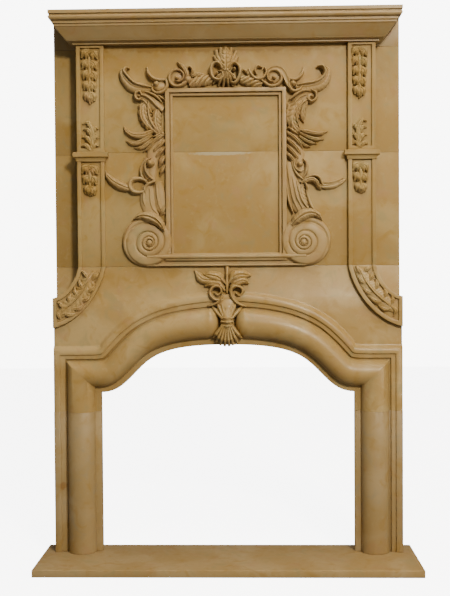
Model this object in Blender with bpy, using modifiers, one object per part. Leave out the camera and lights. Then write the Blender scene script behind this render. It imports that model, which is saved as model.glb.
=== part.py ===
"""Carved marble chimneypiece with its overmantel, as the stones it is built from.

Metres, +Z up, the front faces -Y. The origin is the middle of the hearth slab's underside.
A depth is measured forward from the flat back that stands against the wall, a half span from
the middle line. The points of the carving's strokes are shares of the field that it fills, and
round the frame so are their widths. All else is in metres.
"""
import math

import bmesh
import bpy
from mathutils import Vector

# The stones, from the floor up
SLAB_DEPTH = 0.39
SLAB_THICKNESS = 0.035
SLAB_EASED_EDGE = 0.004
SLAB_OVERHANG = 0.053
BODY_WIDTH = 1.624
LEG_HEIGHT = 0.660
LINTEL_HEIGHT = 0.676
MIDDLE_HEIGHT = 0.530
TOP_HEIGHT = 0.493
JOINT = 0.0003

# Depths of the faces
WING_DEPTH = 0.038
FACE_DEPTH = 0.110
PILASTER_RISE = 0.022
SUNK_PANEL = 0.010
ROOT = 0.010

# The arch of the opening: its spring stands above the legs, and it rises in a double curve.
# The turn between the two curves and the pull of their handles are shares of half the span.
SPRING_HEIGHT = 0.089
ARCH_RISE = 0.221
ARCH_TURN = 0.711
ARCH_TURN_RISE = 0.462
CROWN_PULL = 0.491
TURN_PULL_UP = 0.169
TURN_PULL_DOWN = 0.127
SPRING_PULL = 0.135
SECTION_LEAN = 0.75
SPRING_REACH = 0.93
ARCH_WIDENING = 0.085
ARCH_STEPS = 6
SPRING_STEPS = 4

# The opening's edge is a lip in front of a rebate that runs up the legs and round the arch
LIP_DEPTH = 0.030
REBATE = 0.020

# The moulding round the opening, from its edge outwards
INNER_FILLET = 0.029
ROLL_WIDTH = 0.130
ROLL_RISE = 0.058
OUTER_FILLET = 0.031
LEG_BAND = 0.031
BAND_FLAT = 0.022
BAND_OGEE = 0.024
BAND_RISE = 0.014
FILLET_RISE = 0.0005
ROLL_STEPS = 6
ROLL_END_SPAN = 0.037
ROLL_END_ROUND = 0.045

# Pilasters, their imposts and the brackets that they stand on
WING_WIDTH = 0.122
PILASTER_WIDTH = 0.127
BORDER = 0.018
TOP_BORDER = 0.012
IMPOST_OVERHANG = 0.0175
IMPOST_FASCIA = 0.022
IMPOST_COVE = 0.020
BRACKET_INNER_DROP = 0.284
BRACKET_OUTER_DROP = 0.145
BRACKET_CURVE = ((0.06, 0.32), (0.39, 0.87))
BRACKET_STEPS = 8

# The cornice, as its overhang and its height above its bed at each break of the profile
CORNICE_PROFILE = (
    (0.0140, JOINT),
    (0.0140, 0.0070),
    (0.0360, 0.0125),
    (0.0450, 0.0225),
    (0.0645, 0.0455),
    (0.0810, 0.0660),
    (0.0850, 0.0765),
    (0.0915, 0.0780),
    (0.0915, 0.0860),
    (0.0945, 0.0930),
    (0.1005, 0.0940),
    (0.1065, 0.1010),
    (0.1055, 0.1100),
    (0.1015, 0.1140),
    (0.1070, 0.1205),
    (0.1070, 0.1340),
    (0.1050, 0.1360),
)
CORNICE_WINGS = 0.130

# The frame that sits on the two courses above the lintel. The carving has the same room beside
# and above it whatever the panel's size, and is drawn for an opening of CARVING_HEIGHT: where the
# opening is higher or lower, what stands between TAIL_SHARE and STALK_SHARE takes up the change.
FRAME_HEAD_ROOM = 0.236
CARVING_HEIGHT = 0.726
CARVING_SPREAD = 0.3898
TAIL_SHARE = 0.25
STALK_SHARE = 0.70
FRAME_BAR = 0.035
FRAME_RAIL = 0.061
FRAME_RISE = 0.025
FRAME_STRIP = 0.011
FRAME_STRIP_RISE = 0.015
FRAME_GROOVE = 0.004
FRAME_GROOVE_RISE = 0.008
VOLUTE_RADIUS = 0.115
VOLUTE_OUTWARD = 0.088
VOLUTE_RISE = 0.032
VOLUTE_RIDGE = 0.012
VOLUTE_EYE_INWARD = 0.014
VOLUTE_EYE_DROP = 0.007
VOLUTE_TURNS = 2.25

# The frame's foot rail, as its rise and its height as a share of the rail's
RAIL_PROFILE = (
    (0.020, 0.00),
    (0.020, 0.15),
    (0.012, 0.21),
    (0.010, 0.36),
    (0.014, 0.49),
    (0.022, 0.56),
    (0.031, 0.62),
    (0.034, 0.74),
    (0.031, 0.85),
    (0.022, 0.92),
)

# Faces of the carving that meet at less than this are merged
FLAT_ANGLE = math.radians(0.5)
# Edges that turn by more than this are drawn sharp
SHARP_ANGLE = math.radians(32)
# How far a cutter runs past the stone that it cuts
CUTTER_PAST = 0.05

# Cross-sections of a stroke of carving: place across its half width, share of its rise
LEAF_SECTION = ((-1.0, 0.30), (-0.45, 1.0), (0.0, 0.68), (0.45, 1.0), (1.0, 0.30))
RIB_SECTION = ((-1.0, 0.14), (0.0, 1.0), (1.0, 0.14))

# Sizes that follow from those above
BACK = SLAB_DEPTH / 2
BODY_HALF = BODY_WIDTH / 2
SLAB_WIDTH = BODY_WIDTH + 2 * SLAB_OVERHANG
LEG_TOP = SLAB_THICKNESS + LEG_HEIGHT
LINTEL_TOP = LEG_TOP + LINTEL_HEIGHT
MIDDLE_TOP = LINTEL_TOP + MIDDLE_HEIGHT
TOP_TOP = MIDDLE_TOP + TOP_HEIGHT
SPRING = LEG_TOP + SPRING_HEIGHT
CROWN = SPRING + ARCH_RISE
PILASTER_DEPTH = FACE_DEPTH + PILASTER_RISE
PILASTER_OUT = BODY_HALF - WING_WIDTH
PILASTER_IN = PILASTER_OUT - PILASTER_WIDTH
PILASTER_MIDDLE = PILASTER_OUT - PILASTER_WIDTH / 2
SUNK_DEPTH = PILASTER_DEPTH - SUNK_PANEL
ROLL_START = INNER_FILLET
ROLL_END = ROLL_START + ROLL_WIDTH
BAND_START = ROLL_END + OUTER_FILLET
BAND_END = BAND_START + BAND_FLAT
SURROUND_WIDTH = BAND_END + BAND_OGEE
OPENING_HALF = BODY_HALF - BAND_START - LEG_BAND
KEYSTONE_HEIGHT = LINTEL_TOP - CROWN
FRAME_MARGIN = CARVING_SPREAD * CARVING_HEIGHT
FRAME_OUT = PILASTER_IN - FRAME_MARGIN
FRAME_HALF = FRAME_OUT - FRAME_BAR
FRAME_FOOT = LINTEL_TOP + FRAME_RAIL
FRAME_TOP = TOP_TOP - FRAME_HEAD_ROOM
FRAME_BED = FACE_DEPTH + JOINT
VOLUTE_CENTRE = FRAME_OUT + VOLUTE_OUTWARD
VOLUTE_HEIGHT = LINTEL_TOP + 2 * JOINT + VOLUTE_RADIUS


def depth_to_y(depth):
    return BACK - depth


def new_collection(name):
    collection = bpy.data.collections.new(name)
    bpy.context.scene.collection.children.link(collection)
    return collection


def bezier(start, start_handle, end_handle, end, steps):
    points = []
    for step in range(steps + 1):
        t = step / steps
        weights = ((1 - t) ** 3, 3 * t * (1 - t) ** 2, 3 * t * t * (1 - t), t ** 3)
        controls = (start, start_handle, end_handle, end)
        points.append(Vector([sum(w * c[axis] for w, c in zip(weights, controls)) for axis in (0, 1)]))
    return points


def smooth_line(points, steps):
    """Evenly spaced points on the smooth curve through the given ones."""
    ends = [2 * Vector(points[0]) - Vector(points[1])]
    ends += [Vector(point) for point in points]
    ends.append(2 * Vector(points[-1]) - Vector(points[-2]))
    dense = []
    for index in range(1, len(ends) - 2):
        a, b, c, d = ends[index - 1:index + 3]
        for step in range(12):
            t = step / 12
            dense.append(0.5 * (2 * b + (c - a) * t + (2 * a - 5 * b + 4 * c - d) * t * t
                                + (3 * b - a - 3 * c + d) * t ** 3))
    dense.append(ends[-2])
    lengths = [0.0]
    for before, after in zip(dense, dense[1:]):
        lengths.append(lengths[-1] + (after - before).length)
    line = []
    segment = 0
    for step in range(steps + 1):
        target = lengths[-1] * step / steps
        while segment < len(dense) - 2 and lengths[segment + 1] < target:
            segment += 1
        span = lengths[segment + 1] - lengths[segment]
        line.append(dense[segment].lerp(dense[segment + 1], (target - lengths[segment]) / span))
    return line


def side_vectors(line):
    """The unit vector to the left of the line at each of its points."""
    sides = []
    for index in range(len(line)):
        along = line[min(index + 1, len(line) - 1)] - line[max(index - 1, 0)]
        sides.append(Vector((-along.y, along.x)).normalized())
    return sides


def offset_line(line, distance):
    return [point + side * distance for point, side in zip(line, side_vectors(line))]


def mirrored(points):
    return [Vector((-point[0], point[1])) for point in points]


def marble(name, colour):
    material = bpy.data.materials.new(name)
    material.use_nodes = True
    shader = material.node_tree.nodes["Principled BSDF"]
    shader.inputs["Base Color"].default_value = (*colour, 1.0)
    shader.inputs["Roughness"].default_value = 0.38
    shader.inputs["Metallic"].default_value = 0.0
    material.diffuse_color = (*colour, 1.0)
    return material


def add_mesh(name, mesh, collection):
    piece = bpy.data.objects.new(name, mesh)
    collection.objects.link(piece)
    return piece


def add_bmesh(name, shape, collection):
    bmesh.ops.recalc_face_normals(shape, faces=shape.faces)
    mesh = bpy.data.meshes.new(name)
    shape.to_mesh(mesh)
    shape.free()
    return add_mesh(name, mesh, collection)


def flat_outline(name, points, thickness, collection):
    """A flat outline given its thickness, as a mesh on its own X and Y, centred on Z."""
    curve = bpy.data.curves.new(name, "CURVE")
    curve.dimensions = "2D"
    curve.fill_mode = "BOTH"
    curve.extrude = thickness / 2
    spline = curve.splines.new("POLY")
    spline.points.add(len(points) - 1)
    for target, point in zip(spline.points, points):
        target.co = (point[0], point[1], 0.0, 1.0)
    spline.use_cyclic_u = True
    guide = bpy.data.objects.new(name, curve)
    collection.objects.link(guide)
    bpy.context.view_layer.update()
    depsgraph = bpy.context.evaluated_depsgraph_get()
    mesh = bpy.data.meshes.new_from_object(guide.evaluated_get(depsgraph))
    bpy.data.objects.remove(guide)
    bpy.data.curves.remove(curve)
    shape = bmesh.new()
    shape.from_mesh(mesh)
    bmesh.ops.remove_doubles(shape, verts=shape.verts, dist=0.00001)
    bpy.data.meshes.remove(mesh)
    return add_bmesh(name, shape, collection)


def upright_plate(name, outline, back_depth, front_depth, collection):
    """An outline in X and Z, from one depth to another."""
    plate = flat_outline(name, outline, front_depth - back_depth, collection)
    for vertex in plate.data.vertices:
        x, height, across = vertex.co
        vertex.co = (x, depth_to_y((front_depth + back_depth) / 2) - across, height)
    return plate


def standing_column(name, plan, foot, head, collection):
    """A plan outline in X and depth, from one height to another."""
    column = flat_outline(name, [(x, depth_to_y(depth)) for x, depth in plan], head - foot, collection)
    for vertex in column.data.vertices:
        vertex.co.z += (foot + head) / 2
    return column


def loft(name, rings, collection):
    """A closed body through rings with the same number of points, capped at both ends."""
    shape = bmesh.new()
    loops = [[shape.verts.new(point) for point in ring] for ring in rings]
    for lower, upper in zip(loops, loops[1:]):
        for index in range(len(lower)):
            following = (index + 1) % len(lower)
            shape.faces.new((lower[index], lower[following], upper[following], upper[index]))
    shape.faces.new(list(reversed(loops[0])))
    shape.faces.new(loops[-1])
    shape.normal_update()
    bmesh.ops.triangulate(shape, faces=shape.faces)
    return add_bmesh(name, shape, collection)


def stroke(line, half_widths, rises, bed, section, collection):
    """A leaf, rib or scroll along a line in X and Z, rising from the depth of its bed."""
    rings = []
    count = len(line) - 1
    for index, (point, side) in enumerate(zip(line, side_vectors(line))):
        share = index / count
        half_width = along_list(half_widths, share)
        rise = along_list(rises, share)
        ring = []
        for across, height in section:
            place = point + side * across * half_width
            ring.append((place.x, depth_to_y(bed + rise * height), place.y))
        for across in (1.0, -1.0):
            place = point + side * across * half_width
            ring.append((place.x, depth_to_y(bed - ROOT), place.y))
        rings.append(ring)
    return loft("stroke", rings, collection)


def along_list(values, share):
    place = share * (len(values) - 1)
    index = min(int(place), len(values) - 2)
    return values[index] + (values[index + 1] - values[index]) * (place - index)


def spiral_line(centre, eye, outer, inner, turns, start_angle, hand, steps):
    """A spiral that starts round one centre and closes in on another."""
    points = []
    for step in range(steps + 1):
        share = step / steps
        angle = start_angle + hand * turns * 2 * math.pi * share
        radius = outer + (inner - outer) * share
        points.append(centre.lerp(eye, share) + Vector((math.cos(angle), math.sin(angle))) * radius)
    return points


def boss(centre, radius, rise, bed, collection):
    """A round knob: the front of a flattened ball."""
    shape = bmesh.new()
    bmesh.ops.create_icosphere(shape, subdivisions=1, radius=1.0)
    for vertex in shape.verts:
        x, y, z = vertex.co
        vertex.co = (centre[0] + x * radius, depth_to_y(bed - y * rise), centre[1] + z * radius)
    return add_bmesh("boss", shape, collection)


def disc(centre, radius, rise, bed, sides, collection):
    """A low round cushion whose face falls to its edge."""
    rings = []
    for share, height in ((1.0, -ROOT), (1.0, 0.62 * rise), (0.76, rise)):
        rings.append([
            (centre[0] + radius * share * math.cos(2 * math.pi * side / sides),
             depth_to_y(bed + height),
             centre[1] + radius * share * math.sin(2 * math.pi * side / sides))
            for side in range(sides)])
    return loft("disc", rings, collection)


def fan(centre, start_radius, end_radius, first_angle, last_angle, ribs, rises, bed, collection):
    """Ribs that spread from a centre, each with a rounded end, as on a scallop shell."""
    for rib in range(ribs):
        angle = first_angle + (last_angle - first_angle) * rib / (ribs - 1)
        half_gap = 0.58 * abs(last_angle - first_angle) / (ribs - 1)
        along = Vector((math.cos(angle), math.sin(angle)))
        line = [Vector(centre) + along * (start_radius + (end_radius - start_radius) * share)
                for share in (0.0, 0.8, 1.0)]
        spread = [half_gap * (point - Vector(centre)).length for point in line]
        stroke(line, spread[:2] + [0.5 * spread[2]], rises, bed, RIB_SECTION, collection)


def cut(body, tool):
    """Take a closed tool from a closed stone. The exact solver leaves open edges where the many
    strokes of the carving cross, so the stones are cut and joined with the manifold one."""
    modifier = body.modifiers.new(tool.name, "BOOLEAN")
    modifier.operation = "DIFFERENCE"
    modifier.solver = "MANIFOLD"
    modifier.object = tool


def add_carving(body, carving):
    """Join all the strokes of a collection to the stone that they are carved in, and merge the
    faces that are nearly flat with each other."""
    modifier = body.modifiers.new(carving.name, "BOOLEAN")
    modifier.operation = "UNION"
    modifier.solver = "MANIFOLD"
    modifier.operand_type = "COLLECTION"
    modifier.collection = carving
    merged = body.modifiers.new("merged faces", "DECIMATE")
    merged.decimate_type = "DISSOLVE"
    merged.angle_limit = FLAT_ANGLE


def hide_tools(collection):
    for tool in collection.all_objects:
        tool.hide_render = True
        tool.display_type = "WIRE"


def finish(piece, material):
    piece.data.materials.clear()
    piece.data.materials.append(material)
    piece.data.shade_smooth()
    piece.data.set_sharp_from_angle(angle=SHARP_ANGLE)


def arch_line():
    """The right half of the opening's edge, from the spring to the crown."""
    turn = Vector((ARCH_TURN * OPENING_HALF, SPRING + ARCH_TURN_RISE * ARCH_RISE))
    slope = Vector((-1.0, 1.0)).normalized() * OPENING_HALF
    spring_handle = (OPENING_HALF * (1 - SPRING_PULL), SPRING)
    crown_handle = (OPENING_HALF * CROWN_PULL, CROWN)
    lower = bezier((OPENING_HALF, SPRING), spring_handle, turn - slope * TURN_PULL_DOWN, turn, SPRING_STEPS)
    upper = bezier(turn, turn + slope * TURN_PULL_UP, crown_handle, (0.0, CROWN), ARCH_STEPS)
    return lower + upper[1:]


def surround_sections(foot):
    """Where the moulding's profile stands, from its foot round to the crown: an origin on the
    opening's edge and the direction that the profile's distances run in. Round the arch each
    section leans less than the edge does, so that the outer lines don't fold at the haunch. The
    moulding is a little narrower over the spring than beside the legs, and widens to the crown."""
    line = arch_line()
    sections = [(Vector((OPENING_HALF, foot)), Vector((1.0, 0.0))),
                (line[0], Vector((1.0, SPRING_REACH)))]
    for index, (point, side) in list(enumerate(zip(line, side_vectors(line))))[1:-1]:
        tilt = math.atan2(-side.x, -side.y)
        lean = tilt * SECTION_LEAN
        reach = (1.0 + ARCH_WIDENING * min(index / SPRING_STEPS, 1.0)) / math.cos(tilt - lean)
        sections.append((point, Vector((math.sin(lean), math.cos(lean))) * reach))
    return sections + [(line[-1], Vector((0.0, 1.0 + ARCH_WIDENING)))]


def band_profile():
    """The outer band: a sharp inner step, a flat and an ogee down to the face."""
    profile = [(ROLL_END - ROOT, -ROOT), (ROLL_END - ROOT, FILLET_RISE), (BAND_START, FILLET_RISE),
               (BAND_START, BAND_RISE), (BAND_END, BAND_RISE)]
    for share, height in ((0.45, 0.55), (1.0, 0.10)):
        profile.append((BAND_END + BAND_OGEE * share, BAND_RISE * height))
    profile.append((SURROUND_WIDTH, -ROOT))
    return profile


def roll_profile(scale=1.0):
    """The fat roll, an upright half ellipse on the face."""
    middle = (ROLL_START + ROLL_END) / 2
    profile = []
    for step in range(ROLL_STEPS + 1):
        angle = math.pi * step / ROLL_STEPS
        distance = middle - ROLL_WIDTH / 2 * scale * math.cos(angle)
        profile.append((distance, ROLL_RISE * scale * math.sin(angle)))
    return [(profile[0][0], -ROOT)] + profile + [(profile[-1][0], -ROOT)]


def profile_ring(section, profile, hand):
    origin, outward = section
    ring = []
    for distance, rise in profile:
        place = origin + outward * distance
        ring.append((hand * min(place.x, BODY_HALF), depth_to_y(FACE_DEPTH + rise), place.y))
    return ring


def add_band(foot, carving):
    right = surround_sections(foot)
    rings = [profile_ring(section, band_profile(), 1) for section in right]
    rings += [profile_ring(section, band_profile(), -1) for section in reversed(right[:-1])]
    loft("band", rings, carving)


def add_rolls(foot, carving):
    """A roll up each side and over to the middle, where it ends rounded beside the keystone."""
    for hand in (1, -1):
        sections = surround_sections(foot)
        rings = [profile_ring(section, roll_profile(), hand) for section in sections[:-2]]
        outward = Vector((0.0, 1.0 + ARCH_WIDENING))
        for share in (0.0, 0.55, 0.85, 0.98):
            span = ROLL_END_SPAN + ROLL_END_ROUND * (1 - share)
            origin = Vector((span, CROWN))
            rings.append(profile_ring((origin, outward), roll_profile(math.sqrt(1 - share ** 2)), hand))
        loft("roll", rings, carving)


def bracket_edges():
    """The right bracket's inner and outer edges, from the lintel's top out to the body's edge."""
    edges = []
    for start, drop in ((PILASTER_IN, BRACKET_INNER_DROP), (PILASTER_OUT, BRACKET_OUTER_DROP)):
        reach = BODY_HALF - start
        handles = [(start + across * reach, LINTEL_TOP - down * drop) for across, down in BRACKET_CURVE]
        edges.append(bezier((start, LINTEL_TOP), handles[0], handles[1], (BODY_HALF, LINTEL_TOP - drop),
                            BRACKET_STEPS))
    return edges


def make_slab(parts):
    shape = bmesh.new()
    bmesh.ops.create_cube(shape, size=1.0)
    for vertex in shape.verts:
        x, y, z = vertex.co
        vertex.co = (x * SLAB_WIDTH, y * SLAB_DEPTH, (z + 0.5) * (SLAB_THICKNESS - JOINT))
    slab = add_bmesh("hearth_slab", shape, parts)
    eased = slab.modifiers.new("eased edge", "BEVEL")
    eased.width = SLAB_EASED_EDGE
    eased.segments = 1
    eased.limit_method = "ANGLE"
    finish(slab, marble("slab marble", (0.33, 0.27, 0.18)))


def make_leg(name, hand, parts):
    """One stone on each side, its section the same all the way up."""
    lip_back = FACE_DEPTH - LIP_DEPTH
    plan = [(OPENING_HALF + REBATE, 0.0), (OPENING_HALF + REBATE, lip_back)]
    plan += [(OPENING_HALF, lip_back), (OPENING_HALF, FACE_DEPTH)]
    for distance, rise in roll_profile()[1:-1]:
        plan.append((OPENING_HALF + distance, FACE_DEPTH + rise))
    for distance, rise in band_profile()[2:-1]:
        if OPENING_HALF + distance < BODY_HALF:
            plan.append((OPENING_HALF + distance, FACE_DEPTH + rise))
    plan.append((BODY_HALF, plan[-1][1]))
    plan.append((BODY_HALF, 0.0))
    plan = [(hand * x, depth) for x, depth in plan]
    leg = standing_column(name, plan, SLAB_THICKNESS, LEG_TOP - JOINT, parts)
    finish(leg, marble(name + " marble", (0.36, 0.29, 0.19)))


def make_lintel(parts, tools):
    """The arched stone, cut back from the brackets' depth, then carved."""
    line = arch_line()
    outline = [(-BODY_HALF, LEG_TOP), (-OPENING_HALF, LEG_TOP)]
    outline += [(-point.x, point.y) for point in line]
    outline += [(point.x, point.y) for point in reversed(line[:-1])]
    outline += [(OPENING_HALF, LEG_TOP), (BODY_HALF, LEG_TOP)]
    outline += [(BODY_HALF, LINTEL_TOP - JOINT), (-BODY_HALF, LINTEL_TOP - JOINT)]
    lintel = upright_plate("lintel", outline, 0.0, PILASTER_DEPTH, parts)

    inner, outer = bracket_edges()
    past = CUTTER_PAST
    centre = mirrored(inner)
    centre = [(centre[0].x, LINTEL_TOP + past)] + centre + [(-BODY_HALF - past, centre[-1].y)]
    centre += [(-BODY_HALF - past, LEG_TOP - past), (BODY_HALF + past, LEG_TOP - past)]
    centre += [(BODY_HALF + past, inner[-1].y)] + list(reversed(inner)) + [(inner[0].x, LINTEL_TOP + past)]
    cut(lintel, upright_plate("face cutter", centre, FACE_DEPTH, PILASTER_DEPTH + past, tools))
    for hand in (1, -1):
        corner = [(outer[0].x, LINTEL_TOP + past)] + outer
        corner += [(BODY_HALF + past, outer[-1].y), (BODY_HALF + past, LINTEL_TOP + past)]
        corner = [(hand * x, height) for x, height in corner]
        cut(lintel, upright_plate("wing cutter", corner, WING_DEPTH, PILASTER_DEPTH + past, tools))
        low = offset_line(inner, BORDER)
        high = offset_line(outer, -BORDER)
        end = BODY_HALF - BORDER
        low = [point for point in low if point.x < end]
        high = [point for point in high if point.x < end]
        field = [(low[0].x, LINTEL_TOP + past)] + low
        field += [(end, low[-1].y), (end, high[-1].y)] + list(reversed(high))
        field += [(high[0].x, LINTEL_TOP + past)]
        field = [(hand * x, height) for x, height in field]
        cut(lintel, upright_plate("bracket cutter", field, SUNK_DEPTH, PILASTER_DEPTH + past, tools))
    rebate = [(OPENING_HALF + REBATE, LEG_TOP - past), (OPENING_HALF + REBATE, SPRING + REBATE)]
    rebate += [(point.x, point.y) for point in offset_line(line, -REBATE)[1:-1]]
    rebate.append((0.0, CROWN + REBATE))
    rebate += [(-x, height) for x, height in reversed(rebate[:-1])]
    cut(lintel, upright_plate("rebate cutter", rebate, -past, FACE_DEPTH - LIP_DEPTH, tools))

    carving = new_collection("lintel carving")
    add_band(LEG_TOP, carving)
    add_rolls(LEG_TOP, carving)
    for hand in (1, -1):
        carve_bracket(hand, carving)
    carve_keystone(carving)
    add_carving(lintel, carving)
    hide_tools(carving)
    finish(lintel, marble("lintel marble", (0.40, 0.30, 0.17)))


def carve_bracket(hand, carving):
    """A long acanthus leaf along the bracket's field, with lobes to each side and a curl on top."""
    inner, outer = bracket_edges()
    middle = [(low + high) / 2 for low, high in zip(inner, outer)]
    spine = smooth_line([(hand * point.x, point.y) for point in middle[1:-1]], 6)
    stroke(spine, (0.010, 0.020, 0.022, 0.018, 0.006), (0.014, 0.020, 0.024, 0.022, 0.014),
           SUNK_DEPTH, LEAF_SECTION, carving)
    for index, side in ((1, 1), (2, -1), (4, 1), (5, -1)):
        root = spine[index]
        along = (spine[index + 1] - spine[index - 1]).normalized()
        across = Vector((-along.y, along.x)) * side
        tip = root + along * 0.028 + across * 0.036
        lobe = [root - along * 0.009, root + along * 0.003 + across * 0.019, tip]
        stroke(lobe, (0.009, 0.012, 0.004), (0.011, 0.019, 0.012), SUNK_DEPTH, RIB_SECTION, carving)
    head = middle[1]
    fan((hand * head.x, LINTEL_TOP - 0.062), 0.010, 0.044, math.radians(35), math.radians(145), 4,
        (0.016, 0.020, 0.014), SUNK_DEPTH, carving)


def carve_keystone(carving):
    """The ornament over the crown: two shells back to back at a ringed collar, scrolls and leaves."""
    def place(across, up):
        return Vector((across * KEYSTONE_HEIGHT, CROWN + up * KEYSTONE_HEIGHT))

    for up, half in ((0.222, 0.095), (0.270, 0.088), (0.318, 0.100)):
        ring = [place(-half, up), place(0.0, up), place(half, up)]
        stroke(ring, (0.007, 0.009, 0.007), (0.042, 0.058, 0.042), FACE_DEPTH, RIB_SECTION, carving)
    fan(place(0.0, 0.486), 0.216 * KEYSTONE_HEIGHT, 0.503 * KEYSTONE_HEIGHT, math.radians(-112),
        math.radians(-68), 5, (0.046, 0.048, 0.026), FACE_DEPTH, carving)
    fan(place(0.0, 0.117), 0.183 * KEYSTONE_HEIGHT, 0.470 * KEYSTONE_HEIGHT, math.radians(66),
        math.radians(114), 5, (0.046, 0.032, 0.022), FACE_DEPTH, carving)
    stem = [place(0.0, 0.555), place(0.0, 0.746), place(0.0, 0.970)]
    stroke(smooth_line(stem, 3), (0.012, 0.011, 0.008, 0.003), (0.026, 0.028, 0.022, 0.012),
           FACE_DEPTH, RIB_SECTION, carving)
    leaves = (
        ("scroll", ((0.027, 0.609), (0.082, 0.549), (0.150, 0.508), (0.232, 0.489)), 5,
         (0.008, 0.010, 0.010, 0.004), (0.030, 0.034, 0.030, 0.018), RIB_SECTION),
        ("leaf", ((0.041, 0.732), (0.137, 0.828), (0.273, 0.861), (0.377, 0.872), (0.415, 0.943)), 5,
         (0.012, 0.024, 0.022, 0.012, 0.003), (0.018, 0.026, 0.024, 0.018, 0.010), LEAF_SECTION),
        ("lobe", ((0.055, 0.773), (0.158, 0.768), (0.246, 0.751), (0.284, 0.719)), 3,
         (0.010, 0.018, 0.014, 0.004), (0.018, 0.024, 0.018, 0.010), LEAF_SECTION),
    )
    for hand in (1, -1):
        for name, points, steps, half_widths, rises, section in leaves:
            line = smooth_line([place(hand * across, up) for across, up in points], steps)
            stroke(line, half_widths, rises, FACE_DEPTH, section, carving)
        disc(place(hand * 0.137, 0.680), 0.025, 0.024, FACE_DEPTH, 8, carving)
        boss(place(hand * 0.137, 0.680), 0.010, 0.030, FACE_DEPTH, carving)


def carve_drop(middle, head, pairs, pitch, carving):
    """Paired leaves that hang down a pilaster, one pair under another, to a pointed drop."""
    reach = PILASTER_WIDTH / 2 - BORDER - 0.008
    for pair in range(pairs):
        top = head - pitch * pair
        taper = 1.0 - 0.45 * pair / pairs
        for hand in (1, -1):
            leaf = [(middle, top), (middle + hand * reach * 0.55 * taper, top - 0.45 * pitch),
                    (middle + hand * reach * taper, top - 1.15 * pitch)]
            stroke(smooth_line(leaf, 2), (0.010, 0.016, 0.004), (0.012, 0.020, 0.010),
                   SUNK_DEPTH, RIB_SECTION, carving)
    foot = head - pitch * pairs
    drop = [(middle, foot + 0.6 * pitch), (middle + 0.004, foot - 0.4 * pitch), (middle, foot - 1.7 * pitch)]
    stroke(smooth_line(drop, 4), (0.010, 0.014, 0.011, 0.003), (0.014, 0.020, 0.017, 0.010),
           SUNK_DEPTH, LEAF_SECTION, carving)


def course_plan(sunk):
    """Half of a course seen from above: panel face, pilaster and wing."""
    plan = [(0.0, FACE_DEPTH), (PILASTER_IN, FACE_DEPTH), (PILASTER_IN, PILASTER_DEPTH)]
    if sunk:
        plan += [(PILASTER_IN + BORDER, PILASTER_DEPTH), (PILASTER_IN + BORDER, SUNK_DEPTH)]
        plan += [(PILASTER_OUT - BORDER, SUNK_DEPTH), (PILASTER_OUT - BORDER, PILASTER_DEPTH)]
    plan += [(PILASTER_OUT, PILASTER_DEPTH), (PILASTER_OUT, WING_DEPTH), (BODY_HALF, WING_DEPTH)]
    plan.append((BODY_HALF, 0.0))
    return plan


def make_course(name, foot, head, sunk, colour, parts):
    plan = course_plan(sunk)
    whole = [(-x, depth) for x, depth in reversed(plan)] + plan[1:]
    course = standing_column(name, whole, foot, head - JOINT, parts)
    finish(course, marble(name + " marble", colour))
    return course


def block_ring(inner, outer, back_depth, front_depth, overhang, height):
    """A level ring round a block, pushed out past its front and both of its sides."""
    return [(inner - overhang, depth_to_y(back_depth), height),
            (outer + overhang, depth_to_y(back_depth), height),
            (outer + overhang, depth_to_y(front_depth + overhang), height),
            (inner - overhang, depth_to_y(front_depth + overhang), height)]


def add_impost(hand, carving):
    """The projecting block on a lower pilaster: a cove under a plain fascia."""
    inner, outer = sorted((hand * PILASTER_IN, hand * PILASTER_OUT))
    top = MIDDLE_TOP - 2 * JOINT
    foot = top - IMPOST_FASCIA - IMPOST_COVE
    rings = []
    for step in range(5):
        angle = math.pi / 2 * step / 4
        overhang = 0.003 + (IMPOST_OVERHANG - 0.005) * (1 - math.cos(angle))
        height = foot + IMPOST_COVE * math.sin(angle)
        rings.append(block_ring(inner, outer, ROOT, PILASTER_DEPTH, overhang, height))
    for overhang, height in ((IMPOST_OVERHANG, foot + IMPOST_COVE), (IMPOST_OVERHANG, top)):
        rings.append(block_ring(inner, outer, ROOT, PILASTER_DEPTH, overhang, height))
    loft("impost", rings, carving)


def make_middle_course(parts):
    course = make_course("middle_course", LINTEL_TOP, MIDDLE_TOP, True, (0.41, 0.31, 0.18), parts)
    carving = new_collection("middle carving")
    for hand in (1, -1):
        add_impost(hand, carving)
        carve_drop(hand * PILASTER_MIDDLE, MIDDLE_TOP - 0.040, 3, 0.040, carving)
    add_carving(course, carving)
    hide_tools(carving)


def make_top_course(parts, tools):
    course = make_course("top_course", MIDDLE_TOP, TOP_TOP, False, (0.40, 0.30, 0.17), parts)
    for hand in (1, -1):
        panel = [(PILASTER_IN + BORDER, MIDDLE_TOP + BORDER), (PILASTER_OUT - BORDER, MIDDLE_TOP + BORDER),
                 (PILASTER_OUT - BORDER, TOP_TOP - TOP_BORDER), (PILASTER_IN + BORDER, TOP_TOP - TOP_BORDER)]
        panel = [(hand * x, height) for x, height in panel]
        cut(course, upright_plate("shaft cutter", panel, SUNK_DEPTH, PILASTER_DEPTH + BORDER, tools))
    carving = new_collection("top carving")
    for hand in (1, -1):
        middle = hand * PILASTER_MIDDLE
        carve_drop(middle, TOP_TOP - 0.016, 3, 0.044, carving)
        for side in (1, -1):
            frond = [(middle, MIDDLE_TOP + 0.030), (middle + side * 0.022, MIDDLE_TOP + 0.065),
                     (middle + side * 0.024, MIDDLE_TOP + 0.105), (middle + side * 0.006, MIDDLE_TOP + 0.140)]
            stroke(smooth_line(frond, 3), (0.008, 0.014, 0.013, 0.004), (0.012, 0.020, 0.018, 0.010),
                   SUNK_DEPTH, RIB_SECTION, carving)
    add_carving(course, carving)
    hide_tools(carving)


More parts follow.
